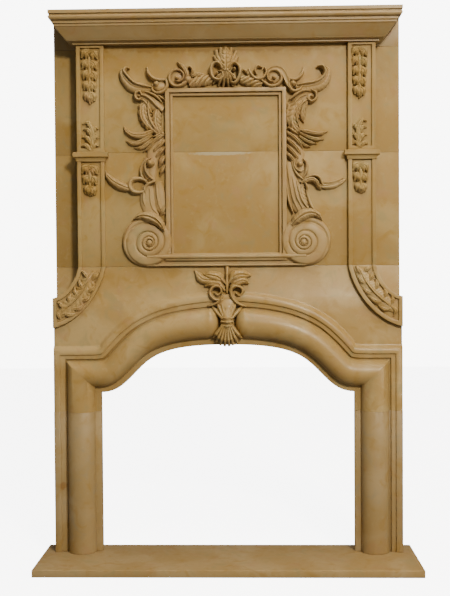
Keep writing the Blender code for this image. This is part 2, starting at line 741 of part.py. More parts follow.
def make_cornice(parts):
    """One stone whose mitred profile runs round the front and back along both sides, to the wings
    that go on up behind it."""
    rings = []
    for overhang, height in CORNICE_PROFILE:
        rings.append(block_ring(-PILASTER_OUT, PILASTER_OUT, ROOT, PILASTER_DEPTH, overhang,
                                TOP_TOP + height))
    cornice = loft("cornice", rings, parts)
    wings = new_collection("cornice wings")
    head = TOP_TOP + CORNICE_WINGS
    outline = [(-BODY_HALF, TOP_TOP), (BODY_HALF, TOP_TOP), (BODY_HALF, head), (-BODY_HALF, head)]
    upright_plate("cornice wings", outline, 0.0, WING_DEPTH, wings)
    add_carving(cornice, wings)
    hide_tools(wings)
    finish(cornice, marble("cornice marble", (0.33, 0.27, 0.18)))


def frame_side(outward, up):
    """A point beside the frame, as shares of the margin to the pilaster and of the carving's height."""
    spare = FRAME_TOP - FRAME_FOOT - CARVING_HEIGHT
    stretch = min(max((up - TAIL_SHARE) / (STALK_SHARE - TAIL_SHARE), 0.0), 1.0)
    return Vector((FRAME_OUT + outward * FRAME_MARGIN, FRAME_FOOT + up * CARVING_HEIGHT + spare * stretch))


def frame_head(across, up):
    """A point over the frame, at a distance from the middle and a share of the room above it."""
    return Vector((across, FRAME_TOP + up * FRAME_HEAD_ROOM))


def carve_side(hand, carving):
    """The acanthus that climbs one side of the frame, from the scroll up to the corner curl. The
    half widths and radii are shares of the margin, and the rises are in metres."""
    leaves = (
        ("corner curl", ((0.035, 1.055), (0.222, 1.066), (0.419, 1.068), (0.585, 1.096), (0.683, 1.140),
                         (0.690, 1.178), (0.627, 1.196)), 8, (0.056, 0.099, 0.092, 0.077, 0.063, 0.042),
         (0.026, 0.034, 0.036, 0.036, 0.034, 0.024)),
        ("second curl", ((-0.021, 1.122), (0.099, 1.112), (0.208, 1.125), (0.285, 1.152), (0.317, 1.186)),
         5, (0.035, 0.046, 0.042, 0.014), (0.022, 0.030, 0.028, 0.018)),
        ("scroll leaf", ((0.440, 1.012), (0.282, 0.992), (0.148, 0.946), (0.028, 0.900)), 5,
         (0.042, 0.106, 0.120, 0.056), (0.030, 0.036, 0.034, 0.024)),
        ("hanging leaf", ((0.232, 0.975), (0.303, 0.921), (0.289, 0.858), (0.208, 0.807), (0.092, 0.770)), 5,
         (0.070, 0.127, 0.120, 0.092, 0.035), (0.026, 0.034, 0.034, 0.032, 0.022)),
        ("upper feather", ((0.141, 0.790), (0.338, 0.758), (0.468, 0.752), (0.585, 0.768), (0.669, 0.800)),
         5, (0.042, 0.053, 0.049, 0.042, 0.011), (0.026, 0.028, 0.026, 0.022, 0.012)),
        ("lower feather", ((0.123, 0.765), (0.282, 0.729), (0.423, 0.707), (0.574, 0.722)), 4,
         (0.035, 0.049, 0.042, 0.011), (0.020, 0.022, 0.018, 0.010)),
        ("stalk", ((0.120, 0.780), (0.176, 0.700), (0.211, 0.640), (0.246, 0.580), (0.183, 0.500)), 5,
         (0.070, 0.120, 0.127, 0.134, 0.106), (0.024, 0.028, 0.028, 0.026, 0.026)),
        ("side spray", ((0.176, 0.470), (0.320, 0.440), (0.468, 0.446), (0.616, 0.428), (0.764, 0.418),
                        (0.894, 0.448), (0.951, 0.498)), 7, (0.056, 0.063, 0.049, 0.049, 0.042, 0.011),
         (0.026, 0.030, 0.024, 0.024, 0.020, 0.012)),
        ("tail", ((0.176, 0.530), (0.239, 0.423), (0.239, 0.326), (0.197, 0.240), (0.127, 0.160)), 5,
         (0.070, 0.120, 0.106, 0.085, 0.070, 0.014), (0.026, 0.030, 0.024, 0.020, 0.018, 0.014)),
        ("shell", ((0.056, 0.140), (0.127, 0.198), (0.246, 0.226), (0.370, 0.222), (0.500, 0.202)), 5,
         (0.035, 0.070, 0.070, 0.049, 0.014), (0.034, 0.042, 0.040, 0.034, 0.020)),
    )
    for name, points, steps, shares, rises in leaves:
        line = smooth_line([frame_side(*point) for point in points], steps)
        line = [Vector((hand * point.x, point.y)) for point in line]
        half_widths = [share * FRAME_MARGIN for share in shares]
        stroke(line, half_widths, rises, FRAME_BED, LEAF_SECTION, carving)
    for outward, up, radius, rise in ((0.496, 1.010, 0.081, 0.032), (0.127, 1.070, 0.113, 0.040)):
        centre = frame_side(outward, up)
        disc((hand * centre.x, centre.y), radius * FRAME_MARGIN, rise, FRAME_BED, 8, carving)
    for outward, up, radius, rise in ((0.246, 0.576, 0.074, 0.040), (0.148, 1.078, 0.049, 0.050)):
        centre = frame_side(outward, up)
        boss((hand * centre.x, centre.y), radius * FRAME_MARGIN, rise, FRAME_BED, carving)


def carve_volute(hand, carving):
    """The big scroll at the frame's foot: a cushion, a spiral ridge on it and a button."""
    centre = Vector((hand * VOLUTE_CENTRE, VOLUTE_HEIGHT))
    eye = centre - Vector((hand * VOLUTE_EYE_INWARD, VOLUTE_EYE_DROP))
    disc(centre, VOLUTE_RADIUS, VOLUTE_RISE, FRAME_BED, 18, carving)
    start = math.radians(90)
    outer = VOLUTE_RADIUS - 0.020
    line = spiral_line(centre, eye, outer, 0.026, VOLUTE_TURNS, start, hand, 24)
    stroke(line, (0.008, 0.007, 0.006), (VOLUTE_RIDGE, VOLUTE_RIDGE, 0.010),
           FRAME_BED + VOLUTE_RISE - 0.004, RIB_SECTION, carving)
    boss(eye, 0.018, 0.018, FRAME_BED + VOLUTE_RISE - 0.006, carving)


def carve_head(carving):
    """The shell that crowns the frame, with the leaves and small scrolls to each side of it."""
    room = FRAME_HEAD_ROOM
    fan(frame_head(0.0, 0.403), 0.085 * room, 0.559 * room, math.radians(45), math.radians(135), 5,
        (0.034, 0.036, 0.020), FRAME_BED, carving)
    fan(frame_head(0.0, 0.551), 0.127 * room, 0.415 * room, math.radians(-135), math.radians(-45), 5,
        (0.040, 0.046, 0.030), FRAME_BED, carving)
    crown = 0.169 * room
    corner = FRAME_HALF - 0.089 * room
    garland_start = 0.191 * room
    garland_end = FRAME_HALF - 0.191 * room
    for hand in (1, -1):
        for across, up, radius, rise, sides in ((crown, 0.504, 0.127, 0.044, 8),
                                                (corner, 0.398, 0.161, 0.038, 9)):
            disc(frame_head(hand * across, up), radius * room, rise, FRAME_BED, sides, carving)
            boss(frame_head(hand * across, up), 0.37 * radius * room, rise + 0.008, FRAME_BED, carving)
        boss(frame_head(hand * (FRAME_HALF - 0.284 * room), 0.364), 0.072 * room, 0.044, FRAME_BED, carving)
        garland = [(hand * (garland_start + share * (garland_end - garland_start)), up)
                   for share, up in ((0.0, 0.271), (0.29, 0.305), (0.612, 0.314), (1.0, 0.263))]
        stroke(smooth_line([frame_head(*point) for point in garland], 4),
               [share * room for share in (0.076, 0.102, 0.093, 0.068)], (0.034, 0.038, 0.034, 0.028),
               FRAME_BED, LEAF_SECTION, carving)
        leaf = [(hand * (FRAME_HALF - inward * room), up)
                for inward, up in ((0.250, 0.381), (0.225, 0.508), (0.157, 0.602), (0.055, 0.695))]
        stroke(smooth_line([frame_head(*point) for point in leaf], 3),
               [share * room for share in (0.042, 0.051, 0.047, 0.013)], (0.026, 0.028, 0.026, 0.014),
               FRAME_BED, RIB_SECTION, carving)


def bar_profile():
    """The stepped bars, as a distance out from the opening's edge and a rise."""
    return [(0.0, 0.0), (0.0, FRAME_STRIP_RISE), (FRAME_STRIP, FRAME_STRIP_RISE),
            (FRAME_STRIP, FRAME_GROOVE_RISE), (FRAME_STRIP + FRAME_GROOVE, FRAME_GROOVE_RISE),
            (FRAME_STRIP + FRAME_GROOVE, FRAME_RISE), (FRAME_BAR - 0.005, FRAME_RISE),
            (FRAME_BAR, FRAME_RISE - 0.006), (FRAME_BAR, 0.0)]


def make_frame_bars(parts):
    """The four mitred bars, as one profile carried round the opening."""
    shape = bmesh.new()
    loops = []
    for distance, rise in bar_profile():
        half = FRAME_HALF + distance
        foot = FRAME_FOOT - distance
        top = FRAME_TOP + distance
        y = depth_to_y(FRAME_BED + rise)
        loops.append([shape.verts.new((x, y, z)) for x, z in
                      ((-half, foot), (half, foot), (half, top), (-half, top))])
    for before, after in zip(loops, loops[1:] + loops[:1]):
        for index in range(4):
            following = (index + 1) % 4
            shape.faces.new((before[index], before[following], after[following], after[index]))
    return add_bmesh("carved_frame", shape, parts)


def add_rail(carving):
    """The wide foot rail between the scrolls: a round on top of a hollow, above a thin strip."""
    foot = LINTEL_TOP + 2 * JOINT
    profile = [(-ROOT, 0.0)] + list(RAIL_PROFILE) + [(-ROOT, RAIL_PROFILE[-1][1])]
    rings = []
    for hand in (-1, 1):
        rings.append([(hand * VOLUTE_CENTRE, depth_to_y(FRAME_BED + rise), foot + height * FRAME_RAIL)
                      for rise, height in profile])
    loft("rail", rings, carving)


def make_frame(parts, tools):
    frame = make_frame_bars(parts)
    carving = new_collection("frame carving")
    add_rail(carving)
    for hand in (1, -1):
        carve_volute(hand, carving)
        carve_side(hand, carving)
    carve_head(carving)
    add_carving(frame, carving)
    hide_tools(carving)
    past = CUTTER_PAST
    bed = [(-BODY_HALF, LINTEL_TOP - past), (BODY_HALF, LINTEL_TOP - past),
           (BODY_HALF, TOP_TOP + past), (-BODY_HALF, TOP_TOP + past)]
    cut(frame, upright_plate("bed cutter", bed, 0.0, FRAME_BED, tools))
    finish(frame, marble("frame marble", (0.43, 0.34, 0.21)))


def main():
    for leftover in list(bpy.data.objects):
        bpy.data.objects.remove(leftover)
    parts = new_collection("marble_overmantel")
    tools = new_collection("cutters")
    make_slab(parts)
    make_leg("leg_left", -1, parts)
    make_leg("leg_right", 1, parts)
    make_lintel(parts, tools)
    make_middle_course(parts)
    make_top_course(parts, tools)
    make_cornice(parts)
    make_frame(parts, tools)
    hide_tools(tools)


main()
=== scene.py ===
import math

import bpy
import numpy as np
from mathutils import Matrix, Vector


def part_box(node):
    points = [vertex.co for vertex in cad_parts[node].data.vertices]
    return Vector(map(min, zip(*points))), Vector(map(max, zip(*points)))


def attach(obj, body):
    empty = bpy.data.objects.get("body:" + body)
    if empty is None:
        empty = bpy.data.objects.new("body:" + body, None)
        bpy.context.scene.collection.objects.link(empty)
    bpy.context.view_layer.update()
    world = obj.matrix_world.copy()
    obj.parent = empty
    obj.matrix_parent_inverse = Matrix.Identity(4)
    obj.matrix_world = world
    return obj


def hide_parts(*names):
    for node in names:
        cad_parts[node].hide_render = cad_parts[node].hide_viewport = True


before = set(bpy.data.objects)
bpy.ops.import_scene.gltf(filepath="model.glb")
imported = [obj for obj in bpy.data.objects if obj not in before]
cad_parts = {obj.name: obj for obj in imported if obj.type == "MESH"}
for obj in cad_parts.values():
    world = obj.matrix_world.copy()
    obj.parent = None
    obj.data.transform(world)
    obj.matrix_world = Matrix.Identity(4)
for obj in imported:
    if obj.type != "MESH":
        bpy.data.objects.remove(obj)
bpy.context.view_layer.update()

# Sizes in metres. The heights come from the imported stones, the rest are the mason's own measures.
stone = {
    "faceDepth": 0.110,       # measured forward from the flat back
    "wingDepth": 0.038,
    "pilasterDepth": 0.132,
    "sunkDepth": 0.122,
    "wingWidth": 0.122,
    "pilasterWidth": 0.127,
    "border": 0.018,          # plain edge round a sunk field
    "topBorder": 0.012,
    "lipDepth": 0.030,        # the opening's edge is a lip in front of a rebate
    "rebate": 0.020,
    "arris": 0.0016,          # eased edges
    "cornerShare": 0.3,       # where the middle of an eased corner lies, as a share of the arris
    "coreFoot": 0.010,        # inner blocks start this far in front of the flat back
    "plateFoot": 0.050,       # and the pilasters' plates this far
    "root": 0.006,            # how far a carved form is let into its bed
}
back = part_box("middle_course")[1].y
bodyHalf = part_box("middle_course")[1].x
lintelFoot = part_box("lintel")[0].z
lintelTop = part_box("lintel")[1].z
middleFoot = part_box("middle_course")[0].z
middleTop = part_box("middle_course")[1].z
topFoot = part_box("top_course")[0].z
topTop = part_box("top_course")[1].z
face = back - stone["faceDepth"]
pilasterOut = bodyHalf - stone["wingWidth"]
pilasterIn = pilasterOut - stone["pilasterWidth"]
short = 0.0004            # inner blocks stop this far behind the sides that show
joint = 0.0003            # the gap between two stones

# The photographer stood four metres off, a little to the right of the middle
camera = {
    "place": (0.10, -4.195, 1.329),
    "tiltDown": 1.43,         # degrees
    "turnLeft": 1.46,
    "roll": -0.40,
    "lens": 55.57,            # mm, on a sensor 36 mm high
    "sensor": 36.0,
    "picture": (450, 596),    # pixels
}


def clearSelection():
    bpy.ops.object.select_all(action="DESELECT")


def pickOnly(piece):
    clearSelection()
    piece.select_set(True)
    bpy.context.view_layer.objects.active = piece


def editMesh(piece, *steps):
    # Takes each step with the whole mesh of a piece selected
    pickOnly(piece)
    bpy.ops.object.mode_set(mode="EDIT")
    for step, settings in steps:
        bpy.ops.mesh.select_all(action="SELECT")
        step(**settings)
    bpy.ops.object.mode_set(mode="OBJECT")


def applyAll(location=True, rotation=True, scale=True):
    bpy.ops.object.transform_apply(location=location, rotation=rotation, scale=scale)


def makeCamera():
    clearSelection()
    bpy.ops.object.camera_add(location=camera["place"])
    eye = bpy.context.object
    eye.name = "standingView"
    turn = Matrix.Rotation(math.radians(camera["turnLeft"]), 3, "Z")
    tilt = Matrix.Rotation(math.radians(90 - camera["tiltDown"]), 3, "X")
    roll = Matrix.Rotation(math.radians(camera["roll"]), 3, "Z")
    eye.rotation_euler = (turn @ tilt @ roll).to_euler()
    eye.data.lens = camera["lens"]
    eye.data.sensor_width = camera["sensor"]
    bpy.context.scene.camera = eye
    return turn @ tilt @ roll


eyeTurn = makeCamera()
print("camera set")


def fromPicture(px, py, depth):
    # Where the sight line through a pixel of the picture meets an upright plane, as X and height
    width, height = camera["picture"]
    focal = camera["lens"] / camera["sensor"] * height
    ray = eyeTurn @ Vector(((px - width / 2) / focal, (height / 2 - py) / focal, -1.0))
    eye = Vector(camera["place"])
    reach = (back - depth - eye.y) / ray.y
    place = eye + ray * reach
    return place.x, place.z


def smoothLine(points, count):
    # Evenly spaced points on a smooth curve through the given ones
    before = 2 * np.array(points[0]) - points[1]
    after = 2 * np.array(points[-1]) - points[-2]
    knots = np.array([before, *points, after], float)
    fine = []
    for index in range(1, len(knots) - 2):
        a, b, c, d = knots[index - 1:index + 3]
        t = np.linspace(0, 1, 16, endpoint=False)[:, None]
        fine.append(0.5 * (2 * b + (c - a) * t + (2 * a - 5 * b + 4 * c - d) * t ** 2
                           + (3 * b - a - 3 * c + d) * t ** 3))
    fine = np.vstack([*fine, knots[-2]])
    run = np.concatenate([[0], np.cumsum(np.linalg.norm(np.diff(fine, axis=0), axis=1))])
    places = np.linspace(0, run[-1], count)
    return np.stack([np.interp(places, run, fine[:, 0]), np.interp(places, run, fine[:, 1])], 1), run[-1]


def alongList(values, share):
    # Eased values along a stroke
    place = share * (len(values) - 1)
    low = np.clip(np.floor(place).astype(int), 0, len(values) - 2)
    part = place - low
    part = part * part * (3 - 2 * part)
    values = np.array(values, float)
    return values[low] + (values[low + 1] - values[low]) * part


def sheetFrom(name, points):
    # A grid whose points are moved to the given rows and columns of places
    rows, columns = points.shape[:2]
    clearSelection()
    bpy.ops.mesh.primitive_grid_add(x_subdivisions=columns - 1, y_subdivisions=rows - 1, size=2)
    sheet = bpy.context.object
    sheet.name = name
    sheet.data.vertices.foreach_set("co", points.reshape(-1))
    sheet.data.update()
    return sheet


def withSkirt(points, footY):
    # Folds the border of a sheet straight back to a plane behind it
    top, foot = points[:1].copy(), points[-1:].copy()
    top[..., 1] = footY
    foot[..., 1] = footY
    points = np.concatenate([top, points, foot], 0)
    left, right = points[:, :1].copy(), points[:, -1:].copy()
    left[..., 1] = footY
    right[..., 1] = footY
    return np.concatenate([left, points, right], 1)


def joinPieces(name, pieces):
    clearSelection()
    for piece in pieces:
        piece.select_set(True)
    bpy.context.view_layer.objects.active = pieces[0]
    bpy.ops.object.join()
    joined = bpy.context.object
    joined.name = name
    return joined


turnOut = (bpy.ops.mesh.normals_make_consistent, {"inside": False})
weld = (bpy.ops.mesh.remove_doubles, {"threshold": 0.00002})


def closeBacks(piece):
    # Fills the flat backs of the carved forms and turns all faces outwards
    editMesh(piece, (bpy.ops.mesh.fill_holes, {"sides": 0}), turnOut)


def flatPlate(name, outlines, backDepth, frontDepth, arris=None):
    # A flat outline, with any holes after it, as an upright plate with eased edges
    arris = stone["arris"] if arris is None else arris
    curve = bpy.data.curves.new(name, "CURVE")
    curve.dimensions = "2D"
    curve.fill_mode = "BOTH"
    curve.bevel_depth = arris
    curve.bevel_resolution = 1
    curve.offset = -arris
    curve.extrude = (frontDepth - backDepth) / 2 - arris
    for outline in outlines:
        spline = curve.splines.new("POLY")
        spline.points.add(len(outline) - 1)
        for target, point in zip(spline.points, outline):
            target.co = (point[0], point[1], 0.0, 1.0)
        spline.use_cyclic_u = True
    plate = bpy.data.objects.new(name, curve)
    bpy.context.scene.collection.objects.link(plate)
    plate.rotation_euler = (math.radians(90), 0, 0)
    plate.location = (0, back - (frontDepth + backDepth) / 2, 0)
    pickOnly(plate)
    bpy.ops.object.convert(target="MESH")
    applyAll()
    editMesh(plate, weld, turnOut)
    return plate


def block(xLow, xHigh, foot, head, backDepth, frontDepth, name="block"):
    outline = ((xLow, foot), (xHigh, foot), (xHigh, head), (xLow, head))
    return flatPlate(name, [outline], backDepth, frontDepth)


def mirrorX(points):
    return [(-x, z) for x, z in points]


def mouldedBlock(name, xLow, xHigh, frontDepth, profile):
    # A block whose front and both sides follow a profile of overhangs and heights
    middle = (xLow + xHigh) / 2
    half = (xHigh - xLow) / 2
    deep = frontDepth - stone["root"]
    rear = back - stone["root"]
    overhang, height = profile[0]
    clearSelection()
    bpy.ops.mesh.primitive_plane_add(size=2, location=(middle, rear - (deep + overhang) / 2, height))
    moulded = bpy.context.object
    moulded.name = name
    moulded.scale = (half + overhang, (deep + overhang) / 2, 1)
    applyAll()
    bpy.ops.object.mode_set(mode="EDIT")
    bpy.ops.mesh.select_all(action="SELECT")
    for nextOverhang, nextHeight in profile[1:]:
        bpy.ops.mesh.extrude_region_move(TRANSFORM_OT_translate={"value": (0, 0, nextHeight - height)})
        bpy.ops.transform.resize(
            value=((half + nextOverhang) / (half + overhang),
                   (deep + nextOverhang) / (deep + overhang), 1),
            center_override=(middle, rear, nextHeight))
        overhang, height = nextOverhang, nextHeight
    bpy.ops.object.mode_set(mode="OBJECT")
    editMesh(moulded, turnOut)
    return moulded


def runsToProfile(runs, steps):
    # Each run of a moulding is smooth in itself and sharp where it meets the next
    profile = []
    for run in runs:
        line = smoothLine(run, steps)[0] if len(run) > 2 else np.array(run)
        profile += [tuple(point) for point in line]
    return profile


# How the chisel forms: round is how full a form is, edge its height at the rim, vein and hollow
# are cut along its middle, flutes run outwards from it every pitch, and cut scallops its outline.
carvingKinds = {
    "ridge": {"round": 0.50, "edge": 0.05},
    "body": {"round": 0.60, "edge": 0.15},
    "petal": {"round": 0.55, "edge": 0.30, "vein": 0.18,
              "pitch": 0.014, "lag": 0.8, "flute": 0.10, "cut": 0.05},
    "leaf": {"round": 0.60, "edge": 0.34, "vein": 0.16,
             "pitch": 0.024, "lag": 0.9, "flute": 0.36, "cut": 0.24},
    "rope": {"round": 0.55, "edge": 0.20,
             "pitch": 0.026, "lag": 1.0, "flute": 0.42, "cut": 0.14, "slant": 1},
    "band": {"round": 0.45, "edge": 0.30, "hollow": 0.30},
}
plainKind = {"vein": 0, "hollow": 0, "pitch": 0, "lag": 0, "flute": 0, "cut": 0, "slant": 0}
carving = {
    "along": 0.0026,          # the mesh's steps
    "across": 0.0022,
    "coarser": 1.12,          # keeps the frame's mesh light
    "rows": (12, 110),
    "columns": (8, 26),
    "tip": 0.0006,
    "lobePower": 0.7,
    "crownPower": 2.2,
    "fluteReach": 1.6,        # flutes are cut fully from here to the rim
    "veinWidth": 0.15,
    "hollowWidth": 0.7,
    "leastForm": 0.02,
    "crest": 0.6,             # the share of a rise that the picture shows as its place
}


def carve(kind, points, halfWidths, rises, bed):
    # One stroke of carving along a line of X and height; widths and rises are in millimetres
    look = {**plainKind, **carvingKinds[kind]}
    length = smoothLine(points, 8)[1]
    width = 2 * max(halfWidths) / 1000
    rows = int(np.clip(length / (carving["along"] * carving["coarser"]), *carving["rows"]))
    columns = int(np.clip(width / (carving["across"] * carving["coarser"]), *carving["columns"]))
    columns += columns % 2 + 1
    line = smoothLine(points, rows)[0]
    slope = np.gradient(line, axis=0)
    slope /= np.linalg.norm(slope, axis=1)[:, None]
    side = np.stack([-slope[:, 1], slope[:, 0]], 1)
    t, u = np.meshgrid(np.linspace(0, 1, rows), np.linspace(-1, 1, columns), indexing="ij")
    reach = np.abs(u)
    lobe, lobeAtRim = 1.0, 1.0
    if look["pitch"]:
        count = max(2, round(length / look["pitch"]))
        lean = u if look["slant"] else reach
        lobe = np.abs(np.sin(np.pi * (count * t - look["lag"] * lean))) ** carving["lobePower"]
        rim = look["lag"] * (np.sign(u) if look["slant"] else 1)
        lobeAtRim = np.abs(np.sin(np.pi * (count * t - rim))) ** carving["lobePower"]
    outline = 1 - look["cut"] * (1 - lobeAtRim)
    crest = np.clip(1 - reach ** carving["crownPower"], 0, 1) ** look["round"]
    form = look["edge"] + (1 - look["edge"]) * crest
    cutting = 1 if look["slant"] else np.clip(reach * carving["fluteReach"], 0, 1)
    form *= 1 - look["flute"] * (1 - lobe) * cutting
    form -= look["vein"] * np.exp(-(reach / carving["veinWidth"]) ** 2)
    form -= look["hollow"] * np.clip(1 - (reach / carving["hollowWidth"]) ** 2, 0, 1)
    half = np.maximum(alongList(halfWidths, t) / 1000, carving["tip"]) * outline
    rise = alongList(rises, t) / 1000
    places = line[:, None] + side[:, None] * (u * half)[..., None]
    depth = back - bed - rise * np.clip(form, carving["leastForm"], 1)
    points3d = np.stack([places[..., 0], depth, places[..., 1]], -1)
    return sheetFrom(kind, withSkirt(points3d, back - bed + stone["root"]))


def carveFromPicture(strokes, bed):
    pieces = []
    for kind, points, halfWidths, rises in strokes:
        lifted = bed + carving["crest"] * max(rises) / 1000
        places = [fromPicture(x, y, lifted) for x, y in points]
        pieces.append(carve(kind, places, halfWidths, rises, bed))
    return pieces


def strokesAlike(kind, halfWidths, rises, *lines):
    # Strokes of one form that differ only in their lines
    return [(kind, line, halfWidths, rises) for line in lines]


def knob(px, py, radius, rise, bed):
    # A round berry or button, its radius and rise in millimetres
    x, z = fromPicture(px, py, bed + rise / 1000)
    clearSelection()
    bpy.ops.mesh.primitive_uv_sphere_add(segments=28, ring_count=16, radius=radius / 1000,
                                         location=(x, back - bed, z), rotation=(math.radians(90), 0, 0))
    ball = bpy.context.object
    applyAll(location=False, scale=False)
    ball.scale = (1, rise / radius, 1)
    applyAll()
    return ball


# Colours of the stone as sRGB hex, with the painted shade of its hollows among them, and the real size of
# each cloud, grain and pit in millimetres
marbleLook = {
    "base": "a08550",
    "light": "b09a6a",
    "ochre": "8f7030",
    "grey": "84805a",
    "pink": "9e7a58",
    # hollow is painted shade laid into the crevices, also standing for dark wax and dust there
    "hollow": "55370f",
    "cloud": 260,
    "patch": 70,
    "fleck": 26,
    "grain": 2.4,             # drawn coarser than the real crystal, which is too fine to show
    "shadeAndWaxReach": 22,
    "shadeAndWaxEdge": (0.60, 0.15),
    "shadeAndWaxMost": 0.40,
    "stainOrShadeEdge": (1.55, 1.15),
    "polish": 0.46,
    "polishSpread": (-0.05, 0.09),
    "sheen": 0.13,
    "relief": 0.10,
    "unevenDepth": 0.004,
    "grainDepth": 0.0006,
}
# The tints over the base: each follows a pattern, from one value of it to another, up to a share
marbleTints = (
    ("light", "clouds", 0.42, 0.66, 0.75),
    ("ochre", "patches", 0.50, 0.74, 0.50),
    ("grey", "patches", 0.46, 0.26, 0.42),
    ("pink", "blushes", 0.56, 0.74, 0.35),
    ("light", "flecks", 0.58, 0.74, 0.35),
    ("ochre", "grain", 0.58, 0.80, 0.30),
)


def linear(hexColour):
    channels = [int(hexColour[index:index + 2], 16) / 255 for index in (0, 2, 4)]
    return (*[c / 12.92 if c <= 0.04045 else ((c + 0.055) / 1.055) ** 2.4 for c in channels], 1.0)


def addNode(tree, kind, settings=None, links=None):
    # A node with its settings, its inputs linked or given a value
    node = tree.nodes.new("ShaderNode" + kind)
    for key, value in (settings or {}).items():
        setattr(node, key, value)
    for key, value in (links or {}).items():
        if isinstance(value, bpy.types.NodeSocket):
            tree.links.new(value, node.inputs[key])
        else:
            node.inputs[key].default_value = value
    return node


def addNoise(tree, place, size, detail=3.0, distortion=0.0):
    return addNode(tree, "TexNoise", {}, {"Vector": place, "Scale": 1000 / size, "Detail": detail,
                                          "Distortion": distortion}).outputs["Fac"]


def mixIn(tree, colour, other, amount):
    mix = addNode(tree, "Mix", {"data_type": "RGBA"}, {0: amount, 6: colour})
    mix.inputs[7].default_value = other
    return mix.outputs[2]


def window(tree, value, low, high, most=1.0):
    # A soft step that rises from nothing at low to most at high
    return addNode(tree, "MapRange", {"interpolation_type": "SMOOTHSTEP"},
                   {"Value": value, "From Min": low, "From Max": high, "To Max": most}).outputs["Result"]


def makeMarble(name, shift, look=None, stainsOrShade=()):
    # Golden beige marble, sawn, carved and polished by hand: softly clouded in ochre, grey-green and
    # pink, with painted shade darkening the hollows, which also stands for the dark wax and dust there, and
    # a dull satin shine where hands can't polish
    look = {**marbleLook, **(look or {})}
    material = bpy.data.materials.new(name)
    material.use_nodes = True
    tree = material.node_tree
    shader = tree.nodes["Principled BSDF"]
    own = addNode(tree, "TexCoord").outputs["Object"]
    place = addNode(tree, "Mapping", {}, {"Vector": own, "Location": shift}).outputs["Vector"]
    elsewhere = addNode(tree, "Mapping", {}, {"Vector": own, "Location": (shift[0] + 7, 3.1, shift[2] + 5)})
    patterns = {
        "clouds": addNoise(tree, place, look["cloud"], 4.0, 0.6),
        "patches": addNoise(tree, place, look["patch"], 5.0, 0.9),
        "flecks": addNoise(tree, place, look["fleck"], 4.0),
        "grain": addNoise(tree, place, look["grain"], 2.0),
        "blushes": addNoise(tree, elsewhere.outputs["Vector"], look["patch"] * 1.3, 4.0, 0.5),
    }
    flecks = patterns["flecks"]
    colour = linear(look["base"])
    for tint, pattern, low, high, most in marbleTints:
        colour = mixIn(tree, colour, linear(look[tint]), window(tree, patterns[pattern], low, high, most))
    # Real stains, and painted shade such as the band under the cornice, laid over the tints
    for stainOrShade in stainsOrShade:
        off = addNode(tree, "VectorMath", {"operation": "SUBTRACT"}, {0: own, 1: stainOrShade["place"]})
        wide = addNode(tree, "VectorMath", {"operation": "DIVIDE"}, {0: off.outputs[0], 1: stainOrShade["size"]})
        far = addNode(tree, "VectorMath", {"operation": "LENGTH"}, {0: wide.outputs[0]}).outputs["Value"]
        ragged = addNode(tree, "Math", {"operation": "ADD"}, {0: far, 1: flecks}).outputs[0]
        amount = window(tree, ragged, *look["stainOrShadeEdge"], stainOrShade["strength"])
        colour = mixIn(tree, colour, linear(stainOrShade["colour"]), amount)
    # Painted shade: the colour darkens towards the hollow colour where nearby stone closes round a point,
    # also standing for wax and dust in the hollows
    creviceShadeAndWax = addNode(tree, "AmbientOcclusion", {"samples": 8}, {"Distance": look["shadeAndWaxReach"] / 1000})
    amount = window(tree, creviceShadeAndWax.outputs["AO"], *look["shadeAndWaxEdge"], look["shadeAndWaxMost"])
    colour = mixIn(tree, colour, linear(look["hollow"]), amount)
    tree.links.new(colour, shader.inputs["Base Color"])
    least, most = (look["polish"] + change for change in look["polishSpread"])
    shine = addNode(tree, "MapRange", {}, {"Value": flecks, "From Min": 0.3, "From Max": 0.7,
                                           "To Min": least, "To Max": most})
    tree.links.new(shine.outputs["Result"], shader.inputs["Roughness"])
    shader.inputs["Specular IOR Level"].default_value = look["sheen"]
    uneven = addNode(tree, "Bump", {}, {"Height": flecks, "Strength": look["relief"],
                                        "Distance": look["unevenDepth"]})
    fine = addNode(tree, "Bump", {}, {"Height": patterns["grain"], "Strength": look["relief"],
                                      "Distance": look["grainDepth"], "Normal": uneven.outputs["Normal"]})
    tree.links.new(fine.outputs["Normal"], shader.inputs["Normal"])
    return material


def stainAt(spot):
    # A stain whose place is read off the picture, seen at one depth and set at another
    x, z = fromPicture(*spot["pixel"], spot["seenDepth"])
    return {**spot, "place": (x, back - spot["depth"], z)}


def finishPiece(piece, node, material):
    pickOnly(piece)
    applyAll()
    bpy.ops.object.shade_smooth_by_angle(angle=math.radians(38))
    piece.data.materials.clear()
    piece.data.materials.append(material)
    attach(piece, "root")
    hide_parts(node)
    print(piece.name, len(piece.data.loop_triangles) or len(piece.data.polygons))


# The hearth slab
slab = {"ease": 0.004, "easeSteps": 3, "look": {"base": "9e8557", "light": "aa946b", "polish": 0.48}}


def makeSlab():
    low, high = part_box("hearth_slab")
    clearSelection()
    bpy.ops.mesh.primitive_cube_add(size=1, location=(low + high) / 2, scale=high - low)
    piece = bpy.context.object
    piece.name = "hearthSlab"
    applyAll()
    bevel = piece.modifiers.new("eased edges", "BEVEL")
    bevel.width = slab["ease"]
    bevel.segments = slab["easeSteps"]
    bpy.ops.object.modifier_apply(modifier=bevel.name)
    marble = makeMarble("honedSlabMarble", (3, 1, 0), slab["look"])
    finishPiece(piece, "hearth_slab", marble)


makeSlab()
print("slab laid")

